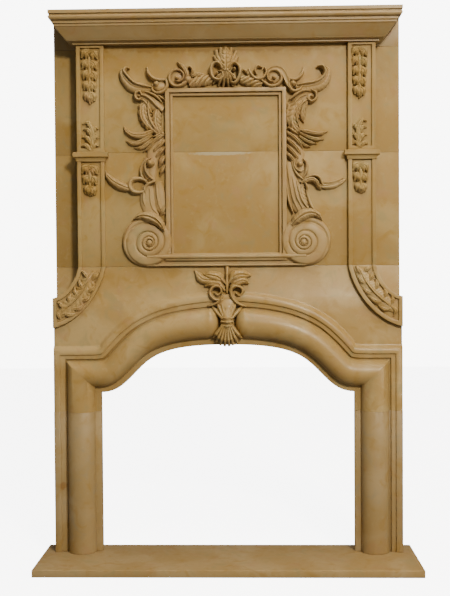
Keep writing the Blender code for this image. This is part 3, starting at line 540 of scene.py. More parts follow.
# The moulding round the opening, from its edge outwards
surround = {
    "innerFillet": 0.029,
    "rollWidth": 0.130,
    "rollRise": 0.058,
    "outerFillet": 0.031,
    "legBand": 0.031,
    "bandFlat": 0.022,
    "bandOgee": 0.024,
    "bandRise": 0.018,
    "ogeeSteps": (0.08, 1, 12),
    "ogeeFoot": 0.06,
    "ogeeFall": 0.88,
    "quirk": 0.009,           # the groove that parts the roll from the fillet
    "filletRise": 0.010,
    "rollSteps": 30,
    "endSpan": 0.037,         # the rolls stop this far from the middle
    "endRound": 0.045,
    "endTurn": 0.47,          # of a half turn
    "endRings": 9,
    "springHeight": 0.089,
    "archRise": 0.221,
    "archTurn": 0.711,        # shares of the opening's half width, as are the pulls
    "archTurnRise": 0.462,
    "crownPull": 0.491,
    "turnPullUp": 0.169,
    "turnPullDown": 0.127,
    "springPull": 0.135,
    "sectionLean": 0.75,
    "springReach": 0.93,      # the moulding is narrower over the spring, and widens to the crown
    "archWidening": 0.085,
    "springFan": 11,
    "smoothing": 45,
    "archSteps": 54,
}
rollStart = surround["innerFillet"]
rollEnd = rollStart + surround["rollWidth"]
bandStart = rollEnd + surround["outerFillet"]
openingHalf = bodyHalf - bandStart - surround["legBand"]
spring = lintelFoot + surround["springHeight"]
crown = spring + surround["archRise"]


def rollProfile(scale=1.0):
    middle = (rollStart + rollEnd) / 2
    angles = np.linspace(0, math.pi, surround["rollSteps"] + 1)
    return [(middle - surround["rollWidth"] / 2 * scale * math.cos(angle),
             surround["rollRise"] * scale * math.sin(angle)) for angle in angles]


def easedCorner(place, rise, hand=1):
    # Three points round an eased corner; its flat side lies beyond the place, or before it if hand is -1
    ease = stone["arris"]
    part = stone["cornerShare"] * ease
    corner = [(place, rise - ease), (place + hand * part, rise - part), (place + hand * ease, rise)]
    return corner[::hand]


def filletProfile():
    start = rollEnd + surround["quirk"]
    rise = surround["filletRise"]
    return [(start, 0.0), *easedCorner(start, rise), (bandStart, rise)]


def bandProfile():
    rise = surround["bandRise"]
    bandEnd = bandStart + surround["bandFlat"]
    profile = filletProfile() + easedCorner(bandStart, rise) + [(bandEnd, rise)]
    for share in np.linspace(*surround["ogeeSteps"]):
        fall = 0.5 + 0.5 * math.cos(math.pi * share)
        height = surround["ogeeFoot"] + surround["ogeeFall"] * fall
        profile.append((bandEnd + surround["bandOgee"] * share, rise * height))
    return profile


def bezier(start, handle, endHandle, end, steps):
    t = np.linspace(0, 1, steps + 1)[:, None]
    start, handle, endHandle, end = (np.array(point, float) for point in (start, handle, endHandle, end))
    first = (1 - t) ** 3 * start + 3 * t * (1 - t) ** 2 * handle
    return first + 3 * t * t * (1 - t) * endHandle + t ** 3 * end


def archLine():
    # The right half of the opening's edge, from the spring to the crown
    turn = np.array((surround["archTurn"] * openingHalf,
                     spring + surround["archTurnRise"] * surround["archRise"]))
    slope = np.array((-1.0, 1.0)) / math.sqrt(2) * openingHalf
    lower = bezier((openingHalf, spring), (openingHalf * (1 - surround["springPull"]), spring),
                   turn - slope * surround["turnPullDown"], turn, surround["archSteps"] // 2)
    upper = bezier(turn, turn + slope * surround["turnPullUp"], (openingHalf * surround["crownPull"], crown),
                   (0.0, crown), surround["archSteps"])
    return np.vstack([lower, upper[1:]])


def surroundSections():
    # Where the moulding's profile stands: a point of the opening's edge, and a way outwards whose
    # end is smoothed, so that the outer lines turn over the spring in one soft curve
    line = archLine()
    lowerSteps = surround["archSteps"] // 2
    widest = 1 + surround["archWidening"]
    corner = np.array((1.0, surround["springReach"]))
    level = np.array((0.0, surround["springReach"]))
    fan = np.linspace(0, 1, surround["springFan"], endpoint=False)
    starts = [line[0]] * len(fan)
    ways = [corner + (level - corner) * share for share in fan]
    for index in range(1, len(line) - 1):
        along = line[index + 1] - line[index - 1]
        tilt = math.atan2(along[1], -along[0])
        lean = tilt * surround["sectionLean"]
        share = max(index - lowerSteps, 0) / (len(line) - 1 - lowerSteps)
        reach = surround["springReach"] + (widest - surround["springReach"]) * share
        starts.append(line[index])
        ways.append(np.array((math.sin(lean), math.cos(lean))) * reach / math.cos(tilt - lean))
    starts = np.array(starts + [line[-1]])
    ends = starts + np.array(ways + [np.array((0.0, widest))]) * bandStart
    for _ in range(surround["smoothing"]):
        ends[1:-1] += 0.25 * (ends[:-2] - 2 * ends[1:-1] + ends[2:])
    return [(np.array((openingHalf, lintelFoot)), np.array((1.0, 0.0))),
            *zip(starts, (ends - starts) / bandStart)]


def profileRing(section, profile, hand):
    origin, outward = section
    ring = []
    for distance, rise in profile:
        place = origin + outward * distance
        ring.append((hand * min(place[0], bodyHalf), face - rise, place[1]))
    return ring


def sheetOnFace(name, rows):
    return sheetFrom(name, withSkirt(np.array(rows), face + stone["root"]))


leg = {
    "coreSide": 0.0003,       # the core stops this far inside the leg's side
    "coreEnd": 0.0002,        # and this far inside its foot and its head
    "look": {"base": "978155", "light": "a38f69", "grey": "867f68", "polish": 0.34, "sheen": 0.45},
    "spot": {"pixel": (63.5, 486), "seenDepth": 0.12, "depth": 0.124, "size": (0.018, 0.05, 0.022),
             "colour": "7c5426", "strength": 0.55},
}


def makeLeg(hand, node, name, shift, stainsOrShade):
    # The section of a leg is the same all the way up, eased where it meets the other stones
    low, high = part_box(node)
    profile = easedCorner(0.0, 0.0) + rollProfile() + filletProfile()
    profile += easedCorner(bandStart, surround["bandRise"])
    profile += easedCorner(bodyHalf - openingHalf, surround["bandRise"], -1)
    rows = []
    for height, rise in easedCorner(low.z, 0.0) + easedCorner(high.z, 0.0, -1):
        rows.append([(hand * (openingHalf + distance), face - ownRise - rise, height)
                     for distance, ownRise in profile])
    behindLip = stone["faceDepth"] - stone["lipDepth"]
    sides = sorted((hand * (openingHalf + stone["rebate"]), hand * (bodyHalf - leg["coreSide"])))
    core = block(*sides, low.z + leg["coreEnd"], high.z - leg["coreEnd"], 0.0, behindLip + stone["root"])
    piece = joinPieces(name, [sheetFrom("front", withSkirt(np.array(rows), back - behindLip)), core])
    closeBacks(piece)
    finishPiece(piece, node, makeMarble(name + "Marble", shift, leg["look"], stainsOrShade))


makeLeg(-1, "leg_left", "legLeft", (1, 2, 4), [stainAt(leg["spot"])])
makeLeg(1, "leg_right", "legRight", (4, 2, 1), [])
print("legs stand")

# The brackets' curved edges, from the lintel's top out to the body's edge
bracket = {
    "innerDrop": 0.284,
    "outerDrop": 0.145,
    "curve": ((0.06, 0.32), (0.39, 0.87)),
    "steps": 40,
    "look": {"polish": 0.35, "sheen": 0.34},
}


def bracketEdge(start, drop):
    reach = bodyHalf - start
    handles = [(start + across * reach, lintelTop - down * drop) for across, down in bracket["curve"]]
    return bezier((start, lintelTop), handles[0], handles[1], (bodyHalf, lintelTop - drop), bracket["steps"])


def offsetLine(line, distance):
    slope = np.gradient(line, axis=0)
    slope /= np.linalg.norm(slope, axis=1)[:, None]
    return line + np.stack([-slope[:, 1], slope[:, 0]], 1) * distance


def bracketLine(edge, distance, end, head):
    # A bracket's curved edge, moved sideways and trimmed at its upper and its outer end
    line = [tuple(point) for point in offsetLine(edge, distance) if point[0] < end]
    return [(line[0][0], head), *line[1:], (end, line[-1][1])]


def archedFoot(half, line):
    # The underside of a block with the arch cut out, from left to right
    right = [(line[0][0], lintelFoot)] + [tuple(point) for point in line]
    return [(-half, lintelFoot), *mirrorX(right), *right[:-1][::-1], (half, lintelFoot)]


def makeLintelBody():
    line = archLine()
    inner = bracketEdge(pilasterIn, bracket["innerDrop"])
    outer = bracketEdge(pilasterOut, bracket["outerDrop"])
    side = bodyHalf - short
    head = lintelTop - short
    corner = (openingHalf + stone["rebate"], spring + stone["rebate"])
    rebated = [corner, *offsetLine(line, -stone["rebate"])[1:]]
    whole = archedFoot(bodyHalf, rebated) + [(bodyHalf, lintelTop), (-bodyHalf, lintelTop)]
    hidden = bracketLine(outer, -short, side, head)
    shoulders = hidden[::-1] + mirrorX(hidden)
    core = archedFoot(side, rebated) + shoulders
    lipBack = stone["faceDepth"] - stone["lipDepth"]
    pieces = [flatPlate("wings", [whole], 0.0, stone["wingDepth"]),
              flatPlate("core", [core], stone["coreFoot"], lipBack + stone["root"]),
              flatPlate("face", [archedFoot(side, line) + shoulders], lipBack, stone["faceDepth"])]
    end = bodyHalf - stone["border"]
    low = bracketLine(inner, stone["border"], end, lintelTop)
    high = bracketLine(outer, -stone["border"], end, lintelTop)
    strip = bracketLine(inner, short, side, head) + hidden[::-1]
    rim = [tuple(point) for point in (*inner, *outer[::-1])] + high + low[::-1]
    for hand in (1, -1):
        for name, outline, depth in (("bracket", strip, "sunkDepth"), ("rim", rim, "pilasterDepth")):
            turned = [(hand * x, z) for x, z in outline]
            pieces.append(flatPlate(name, [turned], stone["plateFoot"], stone[depth]))
    return pieces


def makeSurround():
    pieces = []
    sections = surroundSections()
    band = bandProfile()
    rings = [profileRing(section, band, 1) for section in sections]
    rings += [profileRing(section, band, -1) for section in sections[::-1][1:]]
    pieces.append(sheetOnFace("band", rings))
    for hand in (1, -1):
        rings = [profileRing(section, rollProfile(), hand) for section in sections
                 if section[0][0] > surround["endSpan"] + surround["endRound"]]
        for share in np.sin(np.linspace(0, surround["endTurn"] * math.pi, surround["endRings"])):
            origin = np.array((surround["endSpan"] + surround["endRound"] * (1 - share), crown))
            outward = np.array((0.0, 1 + surround["archWidening"]))
            rings.append(profileRing((origin, outward), rollProfile(math.sqrt(1 - share ** 2)), hand))
        pieces.append(sheetOnFace("roll", rings))
    return pieces


# The ornament over the crown: two shells back to back at a ringed collar, with scrolls and leaves.
# Points are pixels of the picture, half widths and rises are millimetres, as for all the carving.
keystone = {
    "strokes": (
        ("body", ((227, 345), (227, 338), (227, 329), (227, 318), (227, 308), (227, 299)),
         (46, 58, 36, 33, 40, 52), (30, 40, 50, 58, 40, 26)),
        ("ridge", ((227, 266.5), (227, 274), (227, 284), (227, 293)), (10, 8, 9, 6), (20, 26, 30, 26)),
        ("petal", ((230, 282), (235, 276), (242, 274.5), (251, 275.5)),
         (11, 27, 24, 6), (22, 34, 32, 16)),
        ("petal", ((231, 287), (237, 282.5), (243.5, 280.5), (249, 283.5)),
         (11, 19, 19, 6), (22, 36, 34, 18)),
        ("petal", ((224, 282), (218, 277.5), (211, 275.5), (203, 274)),
         (11, 25, 23, 6), (22, 34, 32, 18)),
        ("petal", ((219, 279), (211, 280), (202, 279), (194.5, 270.5)),
         (10, 21, 20, 5), (18, 26, 24, 12)),
        ("petal", ((224, 288), (218, 284), (211, 283.5), (205, 286)),
         (11, 19, 18, 6), (22, 36, 34, 18)),
        ("ridge", ((226, 284), (222, 279.5), (220, 275.5)), (6, 9, 3), (26, 34, 18)),
        ("ridge", ((228, 284), (232, 278), (235, 273)), (6, 9, 3), (26, 32, 16)),
        ("ridge", ((225, 291), (221, 286), (217, 282)), (6, 10, 3), (28, 38, 22)),
        ("ridge", ((229, 291), (233, 286), (238, 283)), (6, 10, 3), (28, 38, 22)),
        ("ridge", ((223, 300), (214, 299), (210, 293), (213, 287), (219, 286.5), (221.5, 291),
         (218, 295), (214.5, 292.5)), (7, 9, 10, 9, 8, 7, 6, 4), (30, 36, 40, 40, 40, 40, 38, 34)),
        ("ridge", ((231, 297), (231, 290), (235, 286), (241, 287.5), (242.5, 292), (239, 295.5),
         (235.5, 293)), (7, 9, 10, 9, 8, 6, 4), (32, 38, 40, 40, 38, 36, 32)),
        ("ridge", ((231, 291), (232, 297), (236, 302), (241, 305), (247, 306.5)),
         (7, 9, 9, 8, 3), (34, 38, 36, 32, 18)),
        ("ridge", ((223, 292), (221, 298), (217, 302.5), (212, 305), (207, 306)),
         (7, 8, 8, 7, 3), (34, 36, 34, 30, 16)),
    ),
    "shells": (
        {"root": (227, 319), "rises": (52, 46, 36, 16),
         "tips": ((212, 307), (216.5, 302), (221, 299.5), (226, 298.5), (231, 299), (236, 302), (242, 307))},
        {"root": (227, 325), "rises": (58, 58, 56, 30),
         "tips": ((213, 338), (216, 342.5), (220, 345.5), (224.5, 346.5), (229, 346.5), (233, 345.5),
                  (237.5, 343), (241.5, 338.5))},
    ),
    "ribRoot": 0.30,
    "ribBend": (0.62, 0.5),
    "ribWidths": (7, 11, 12, 6),
    "rings": (317.5, 321.5, 325.5),
    "ringMiddle": 227,
    "ringHalf": 6.4,
    "ringSag": 0.6,
}


def makeKeystone():
    strokes = list(keystone["strokes"])
    across, down = keystone["ribBend"]
    for shell in keystone["shells"]:
        rootX, rootY = shell["root"]
        for x, y in shell["tips"]:
            start = (rootX + (x - rootX) * keystone["ribRoot"], rootY)
            bend = (rootX + (x - rootX) * across, rootY + (y - rootY) * down)
            strokes.append(("ridge", (start, bend, (x, y)), keystone["ribWidths"], shell["rises"]))
    middle = keystone["ringMiddle"]
    for height in keystone["rings"]:
        ring = ((middle - keystone["ringHalf"], height), (middle, height + keystone["ringSag"]),
                (middle + keystone["ringHalf"], height))
        strokes.append(("ridge", ring, (9, 10, 9), (50, 66, 50)))
    return carveFromPicture(strokes, stone["faceDepth"])


# The acanthus spray in each bracket, left and right traced apart because they were cut by hand
bracketCarving = (
    ("leaf", ((94, 271), (89, 281), (84, 291), (77, 300), (68, 308), (58, 316)),
     (12, 34, 40, 42, 38, 16), (8, 16, 18, 18, 16, 8)),
    ("petal", ((91, 281), (95, 276), (99, 271.5)), (9, 14, 5), (16, 24, 14)),
    *strokesAlike("petal", (8, 11, 4), (14, 20, 12),
                  ((88, 279), (85, 274), (81, 270.5)), ((391, 304), (393, 299.5), (392, 295.5))),
    *strokesAlike("petal", (9, 13, 5), (16, 24, 14),
                  ((86, 292), (91, 290), (96, 285)), ((80, 301), (86, 299.5), (91, 295)),
                  ((72, 309), (79, 308.5), (85, 304)), ((362, 275), (359, 270), (356, 266)),
                  ((367, 284), (362, 281), (358, 276)), ((374, 293), (368, 292), (363, 287)),
                  ((383, 301), (376, 301), (370, 296.5))),
    *strokesAlike("petal", (9, 12, 4), (16, 22, 12),
                  ((84, 290), (80, 284), (78.5, 279)), ((78, 298), (75, 292), (74.5, 286.5)),
                  ((71, 304), (69, 299), (70, 293)), ((369, 281), (372, 276), (373.5, 271)),
                  ((375, 290), (377, 285), (376, 279)), ((384, 298), (386, 293), (384, 288.5))),
    ("petal", ((63, 313), (70, 315), (77, 313)), (9, 12, 4), (14, 22, 12)),
    ("petal", ((63, 308), (60, 304), (57.5, 302.5)), (8, 11, 4), (14, 22, 12)),
    *strokesAlike("ridge", (4, 6, 6, 6, 3), (14, 24, 26, 24, 12),
                  ((90, 274), (86, 284), (80, 294), (72, 303), (62, 311)),
                  ((361, 271), (366, 281), (373, 290.5), (382, 299), (393, 308))),
    *strokesAlike("petal", (8, 10, 4), (14, 20, 12),
                  ((60, 311), (58, 314.5), (60, 319)), ((393, 307), (396, 311), (394, 316))),
    ("petal", ((355, 267), (362, 275), (368, 285), (376, 294), (386, 303), (396, 311)),
     (10, 30, 36, 38, 32, 14), (8, 15, 16, 16, 15, 8)),
    *strokesAlike("petal", (8, 12, 4), (14, 22, 12),
                  ((364, 272), (368, 268.5), (371, 268)), ((391, 308), (385, 309), (379, 306))),
)


def makeLintel():
    pieces = makeSurround() + makeKeystone() + carveFromPicture(bracketCarving, stone["sunkDepth"])
    relief = joinPieces("lintelCarving", pieces)
    closeBacks(relief)
    piece = joinPieces("archedLintel", makeLintelBody() + [relief])
    marble = makeMarble("polishedLintelMarble", (0, 0, 0), bracket["look"])
    finishPiece(piece, "lintel", marble)


makeLintel()
print("lintel carved")

# Hanging leaves on the pilasters, as picture places: the middle line, the size of the first pair
# and how low the last leaf hangs
pilasterDrops = (
    {"course": "top", "line": ((89, 50), (89.5, 92)), "pairs": 5,
     "reach": 8.0, "fall": 8.5, "drop": 104},
    {"course": "top", "line": ((359.5, 47), (359.5, 86)), "pairs": 5,
     "reach": 7.6, "fall": 8.5, "drop": 98},
    {"course": "middle", "line": ((89.5, 166), (90, 186)), "pairs": 3,
     "reach": 8.0, "fall": 8.0, "drop": 196},
    {"course": "middle", "line": ((360.5, 163), (361, 183)), "pairs": 3,
     "reach": 7.6, "fall": 8.0, "drop": 193},
)
pilasterBuds = (
    *strokesAlike("petal", (10, 13, 13, 12, 4), (12, 18, 20, 20, 12),
                  ((92, 149), (91.5, 141), (92, 132), (88, 123), (82.5, 124)),
                  ((358, 147), (359, 138), (358.5, 129), (362, 120), (367, 121))),
    *strokesAlike("petal", (9, 13, 4), (14, 22, 12),
                  ((92, 137), (88, 130), (83, 129.5)), ((91, 144), (87, 138), (82, 137)),
                  ((358.5, 134), (362, 127), (367, 127)), ((359, 141), (363, 135), (367.5, 134.5))),
    *strokesAlike("petal", (9, 12, 4), (14, 20, 12),
                  ((90, 150), (86, 145.5), (81, 146)), ((360, 147), (364, 142.5), (368, 143.5))),
    *strokesAlike("petal", (8, 11, 4), (12, 18, 10),
                  ((92, 134), (95, 128), (98, 129)), ((92, 143), (95, 137), (98, 138)),
                  ((358, 131), (355, 125), (352, 126)), ((358, 140), (355, 134), (352, 135))),
    *strokesAlike("petal", (8, 10, 4), (12, 18, 10),
                  ((92, 150), (95, 145), (98, 146.5)), ((359, 147), (356, 142), (352.5, 143.5))),
)
# A pair's leaves, each with its start, its bend and tip as shares of the reach and the fall, and its form
hangingLeaves = {
    "shrink": 0.42,           # how much less the last pair reaches than the first
    "stagger": 0.5,
    "stemBow": 0.4,
    "forms": ((0, ((0.62, 0.30), (1.0, 1.0)), (8, 17, 5), (16, 24, 13)),
              (2, ((0.36, 0.65), (0.42, 1.15)), (6, 10, 4), (18, 26, 15))),
    "dropBow": 0.8,
}
imposts = {
    "overhang": 0.0175,
    "fascia": 0.022,
    "cove": 0.020,
    "coveFoot": 0.002,
    "coveLip": (0.004, 0.001),
    "joint": 0.0006,          # they end this far below the top of their course
}
courses = {
    "look": {"base": "967c49", "light": "a5905f"},
    "mortar": {"place": (-0.02, face, middleTop - 0.006), "size": (0.15, 0.05, 0.012),
               "colour": "a39c80", "strength": 0.7},
    # painted shade: a darker band along the top of the top course, standing for the cornice's shadow
    "paintedCorniceShade": {"place": (0.0, face, topTop), "size": (0.80, 0.05, 0.040),
             "colour": "6f5328", "strength": 0.55},
}
pilasterSides = ((pilasterIn, pilasterOut), (-pilasterOut, -pilasterIn))


def makeDrop(drop):
    (topX, topY), (lowX, lowY) = drop["line"]
    middle = ((topX + lowX) / 2 + hangingLeaves["stemBow"], (topY + lowY) / 2)
    strokes = [("ridge", ((topX, topY), middle, (lowX, lowY)), (9, 12, 9), (12, 20, 18))]
    for pair in range(drop["pairs"]):
        share = pair / (drop["pairs"] - 1)
        x = topX + (lowX - topX) * share
        y = topY + (lowY - topY) * share
        reach = drop["reach"] * (1 - hangingLeaves["shrink"] * share)
        for hand in (1, -1):
            lift = hangingLeaves["stagger"] * hand
            for start, turns, halfWidths, rises in hangingLeaves["forms"]:
                line = [(x + hand * reach * out, y + lift + drop["fall"] * down) for out, down in turns]
                strokes.append(("petal", [(x, y + start + lift), *line], halfWidths, rises))
    middle = (lowX + hangingLeaves["dropBow"], (lowY + drop["drop"]) / 2)
    strokes.append(("petal", ((lowX, lowY), middle, (lowX, drop["drop"])), (9, 15, 4), (18, 24, 12)))
    return carveFromPicture(strokes, stone["sunkDepth"])


def courseBody(foot, head):
    # The wings and the field of a course
    half = pilasterOut - short
    return [block(-bodyHalf, bodyHalf, foot, head, 0.0, stone["wingDepth"]),
            block(-half, half, foot, head, stone["coreFoot"], stone["faceDepth"])]


def finishCourse(name, pieces, shift, stainOrShade):
    relief = []
    for drop in pilasterDrops:
        if drop["course"] == name:
            relief += makeDrop(drop)
    if name == "top":
        relief += carveFromPicture(pilasterBuds, stone["sunkDepth"])
    relief = joinPieces(name + "Carving", relief)
    closeBacks(relief)
    piece = joinPieces(name + "Course", pieces + [relief])
    marble = makeMarble("polished" + name.capitalize() + "Marble", shift, courses["look"], [stainOrShade])
    finishPiece(piece, name + "_course", marble)


def makeImpostProfile(foot, top):
    ease = stone["arris"]
    out = imposts["overhang"]
    lip, lipRise = imposts["coveLip"]
    profile = [(imposts["coveFoot"], foot), (lip, foot + lipRise)]
    for angle in np.linspace(0, 1, 10) * math.pi / 2:
        profile.append((lip + (out - 2 * lip) * (1 - math.cos(angle)),
                        foot + lipRise + (imposts["cove"] - 2 * lipRise) * math.sin(angle)))
    head = foot + imposts["cove"]
    return profile + [(out - ease, head), (out, head + ease), (out, top - ease), (out - ease, top)]


def makeMiddleCourse():
    pieces = courseBody(middleFoot, middleTop)
    top = middleTop - imposts["joint"]
    profile = makeImpostProfile(top - imposts["fascia"] - imposts["cove"], top)
    edge, foot = stone["border"], stone["plateFoot"]
    for inner, outer in pilasterSides:
        pieces.append(block(inner + short, outer - short, middleFoot, top, foot, stone["sunkDepth"]))
        pieces.append(block(inner, inner + edge, middleFoot, top, foot, stone["pilasterDepth"]))
        pieces.append(block(outer - edge, outer, middleFoot, top, foot, stone["pilasterDepth"]))
        pieces.append(mouldedBlock("impost", inner, outer, stone["pilasterDepth"], profile))
    finishCourse("middle", pieces, (2, 5, 1), courses["mortar"])


def makeTopCourse():
    pieces = courseBody(topFoot, topTop)
    edge, foot = stone["border"], stone["plateFoot"]
    head = topTop - stone["topBorder"]
    for inner, outer in pilasterSides:
        pieces.append(block(inner + short, outer - short, topFoot, topTop, foot, stone["sunkDepth"]))
        outline = ((inner, topFoot), (outer, topFoot), (outer, topTop), (inner, topTop))
        hole = ((inner + edge, topFoot + edge), (outer - edge, topFoot + edge), (outer - edge, head),
                (inner + edge, head))
        pieces.append(flatPlate("shaft", [outline, hole], foot, stone["pilasterDepth"]))
    # the top course carries the painted shade band under the cornice
    finishCourse("top", pieces, (5, 1, 3), courses["paintedCorniceShade"])


makeMiddleCourse()
makeTopCourse()
print("courses laid")

# The cornice as overhangs and heights above its bed, and the wings that go on up behind it
cornice = {
    "wings": 0.130,
    "runs": (
        ((0.014, 0.0003), (0.014, 0.006)),
        ((0.016, 0.0085), (0.035, 0.012)),
        ((0.037, 0.0138), (0.0375, 0.015)),
        ((0.0385, 0.016), (0.045, 0.0225), (0.0535, 0.0325), (0.0645, 0.0455), (0.0735, 0.056),
         (0.081, 0.0655)),
        ((0.0845, 0.0675), (0.085, 0.0755)),
        ((0.0895, 0.0775), (0.0915, 0.079), (0.0915, 0.084)),
        ((0.089, 0.086), (0.089, 0.0905)),
        ((0.0985, 0.0925), (0.1035, 0.0965), (0.1065, 0.103), (0.1055, 0.109), (0.102, 0.1125)),
        ((0.099, 0.1145), (0.099, 0.118)),
        ((0.1055, 0.119), (0.107, 0.1205), (0.107, 0.134), (0.1055, 0.136)),
    ),
    "runSteps": 14,
    "look": {"base": "957e53", "light": "9e8a62", "polish": 0.40, "sheen": 0.30},
    "streak": {"pixel": (388.5, 31), "seenDepth": stone["wingDepth"], "depth": stone["wingDepth"],
               "size": (0.016, 0.05, 0.024), "colour": "7a5226", "strength": 0.7},
}


def makeCornice():
    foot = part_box("cornice")[0].z
    runs = runsToProfile(cornice["runs"], cornice["runSteps"])
    profile = [(overhang, foot + height) for overhang, height in runs]
    moulding = mouldedBlock("moulding", -pilasterOut, pilasterOut, stone["pilasterDepth"], profile)
    wings = block(-bodyHalf, bodyHalf, foot, foot + cornice["wings"], 0.0, stone["wingDepth"])
    piece = joinPieces("mouldedCornice", [wings, moulding])
    marble = makeMarble("corniceMarble", (6, 3, 2), cornice["look"], [stainAt(cornice["streak"])])
    finishPiece(piece, "cornice", marble)


makeCornice()
print("cornice set")

# The frame's bars as steps across and a rise, from the outer edge in
frameBars = {
    "openingHalf": 0.245,
    "bar": 0.035,
    "headRoom": 0.236,
    "rail": 0.061,
    "look": {"base": "9b8153", "light": "a89265", "polish": 0.44, "sheen": 0.24},
    "railJoint": 0.0005,
    "railSteps": 9,
    "steps": ((0.0, 0.0), (0.0, 0.019), (0.0015, 0.0235), (0.005, 0.025), (0.017, 0.025), (0.0185, 0.0245),
              (0.020, 0.023), (0.020, 0.009), (0.0235, 0.008), (0.024, 0.0135), (0.0255, 0.015),
              (0.0335, 0.015), (0.035, 0.0135), (0.035, 0.0)),
    "railRuns": (((0.016, 0.00), (0.020, 0.03), (0.020, 0.12), (0.017, 0.17)),
                 ((0.011, 0.19), (0.009, 0.27), (0.010, 0.38), (0.015, 0.50), (0.020, 0.545)),
                 ((0.022, 0.56), (0.030, 0.59), (0.034, 0.68), (0.034, 0.78), (0.030, 0.87), (0.022, 0.92))),
}
frameFoot = lintelTop + joint + frameBars["rail"]
frameTop = topTop + joint - frameBars["headRoom"]
volute = {
    "centre": 0.368,
    "radius": 0.115,
    "joint": 0.0006,
    "rise": 0.036,
    "turnGrowth": 1.74,
    "eye": 0.0190,
    "eyeInward": 0.014,
    "eyeDrop": 0.007,
    "eyeCrown": 0.85,         # shares of the eye's radius
    "eyeEdge": 0.9,
    "eyeFoot": 0.78,
    "eyeRise": 0.30,
    "groove": 0.16,
    "grooveWidth": 0.085,
    "bulge": 0.10,
    "crownRise": 0.30,
    "rimWidth": 0.09,
    "rimFoot": 0.45,
    "grid": 80,
}


def makeBars():
    rows = []
    outHalf = frameBars["openingHalf"] + frameBars["bar"]
    for across, rise in frameBars["steps"]:
        half = outHalf - across
        foot = frameFoot - frameBars["bar"] + across
        top = frameTop + frameBars["bar"] - across
        corners = ((-half, foot), (half, foot), (half, top), (-half, top), (-half, foot))
        rows.append([(x, face - rise, z) for x, z in corners])
    rows = np.array(rows)
    first, last = rows[:1].copy(), rows[-1:].copy()
    first[..., 1] += stone["root"]
    last[..., 1] += stone["root"]
    bars = sheetFrom("bars", np.concatenate([first, rows, last, first], 0))
    editMesh(bars, weld)
    return bars


def makeRail():
    foot = lintelTop + frameBars["railJoint"]
    runs = runsToProfile(frameBars["railRuns"], frameBars["railSteps"])
    rows = [[(x, face - rise, foot + height * frameBars["rail"]) for rise, height in runs]
            for x in (-volute["centre"], 0.0, volute["centre"])]
    return sheetOnFace("rail", rows)


def makeVolute(hand):
    # A scroll seen end on: its turns widen by the same share each time round
    steps = volute["grid"]
    u, v = np.meshgrid(np.linspace(-1, 1, steps), np.linspace(-1, 1, steps))
    x = u * np.sqrt(1 - v * v / 2)
    z = v * np.sqrt(1 - u * u / 2)
    inside = np.clip(1 - np.hypot(x, z), 0, 1)
    offX = x * volute["radius"] + hand * volute["eyeInward"] * inside
    offZ = z * volute["radius"] + volute["eyeDrop"] * inside
    radius = np.hypot(offX, offZ)
    angle = np.arctan2(offZ, hand * offX)
    turn = np.log(np.maximum(radius, 1e-5) / volute["eye"]) / math.log(volute["turnGrowth"])
    turn += angle / (2 * math.pi)
    inTurn = turn - np.floor(turn)
    groove = np.exp(-(np.minimum(inTurn, 1 - inTurn) / volute["grooveWidth"]) ** 2)
    wound = 1 - volute["groove"] * groove + volute["bulge"] * np.sin(np.pi * inTurn) ** 0.8
    crown = np.clip(1 - (radius / (volute["eye"] * volute["eyeCrown"])) ** 2, 0, 1) ** 0.5
    eye = volute["eyeFoot"] + volute["eyeRise"] * crown
    form = np.where(radius < volute["eye"] * volute["eyeEdge"], eye, wound)
    mound = 1 - volute["crownRise"] * (radius / volute["radius"]) ** 1.5
    rim = np.clip((1 - radius / volute["radius"]) / volute["rimWidth"], 0, 1) ** 0.5
    rise = volute["rise"] * mound * form * (volute["rimFoot"] + (1 - volute["rimFoot"]) * rim)
    centreZ = lintelTop + volute["joint"] + volute["radius"]
    places = np.stack([hand * volute["centre"] + x * volute["radius"], face - rise,
                       centreZ + z * volute["radius"]], -1)
    return sheetOnFace("volute", places)


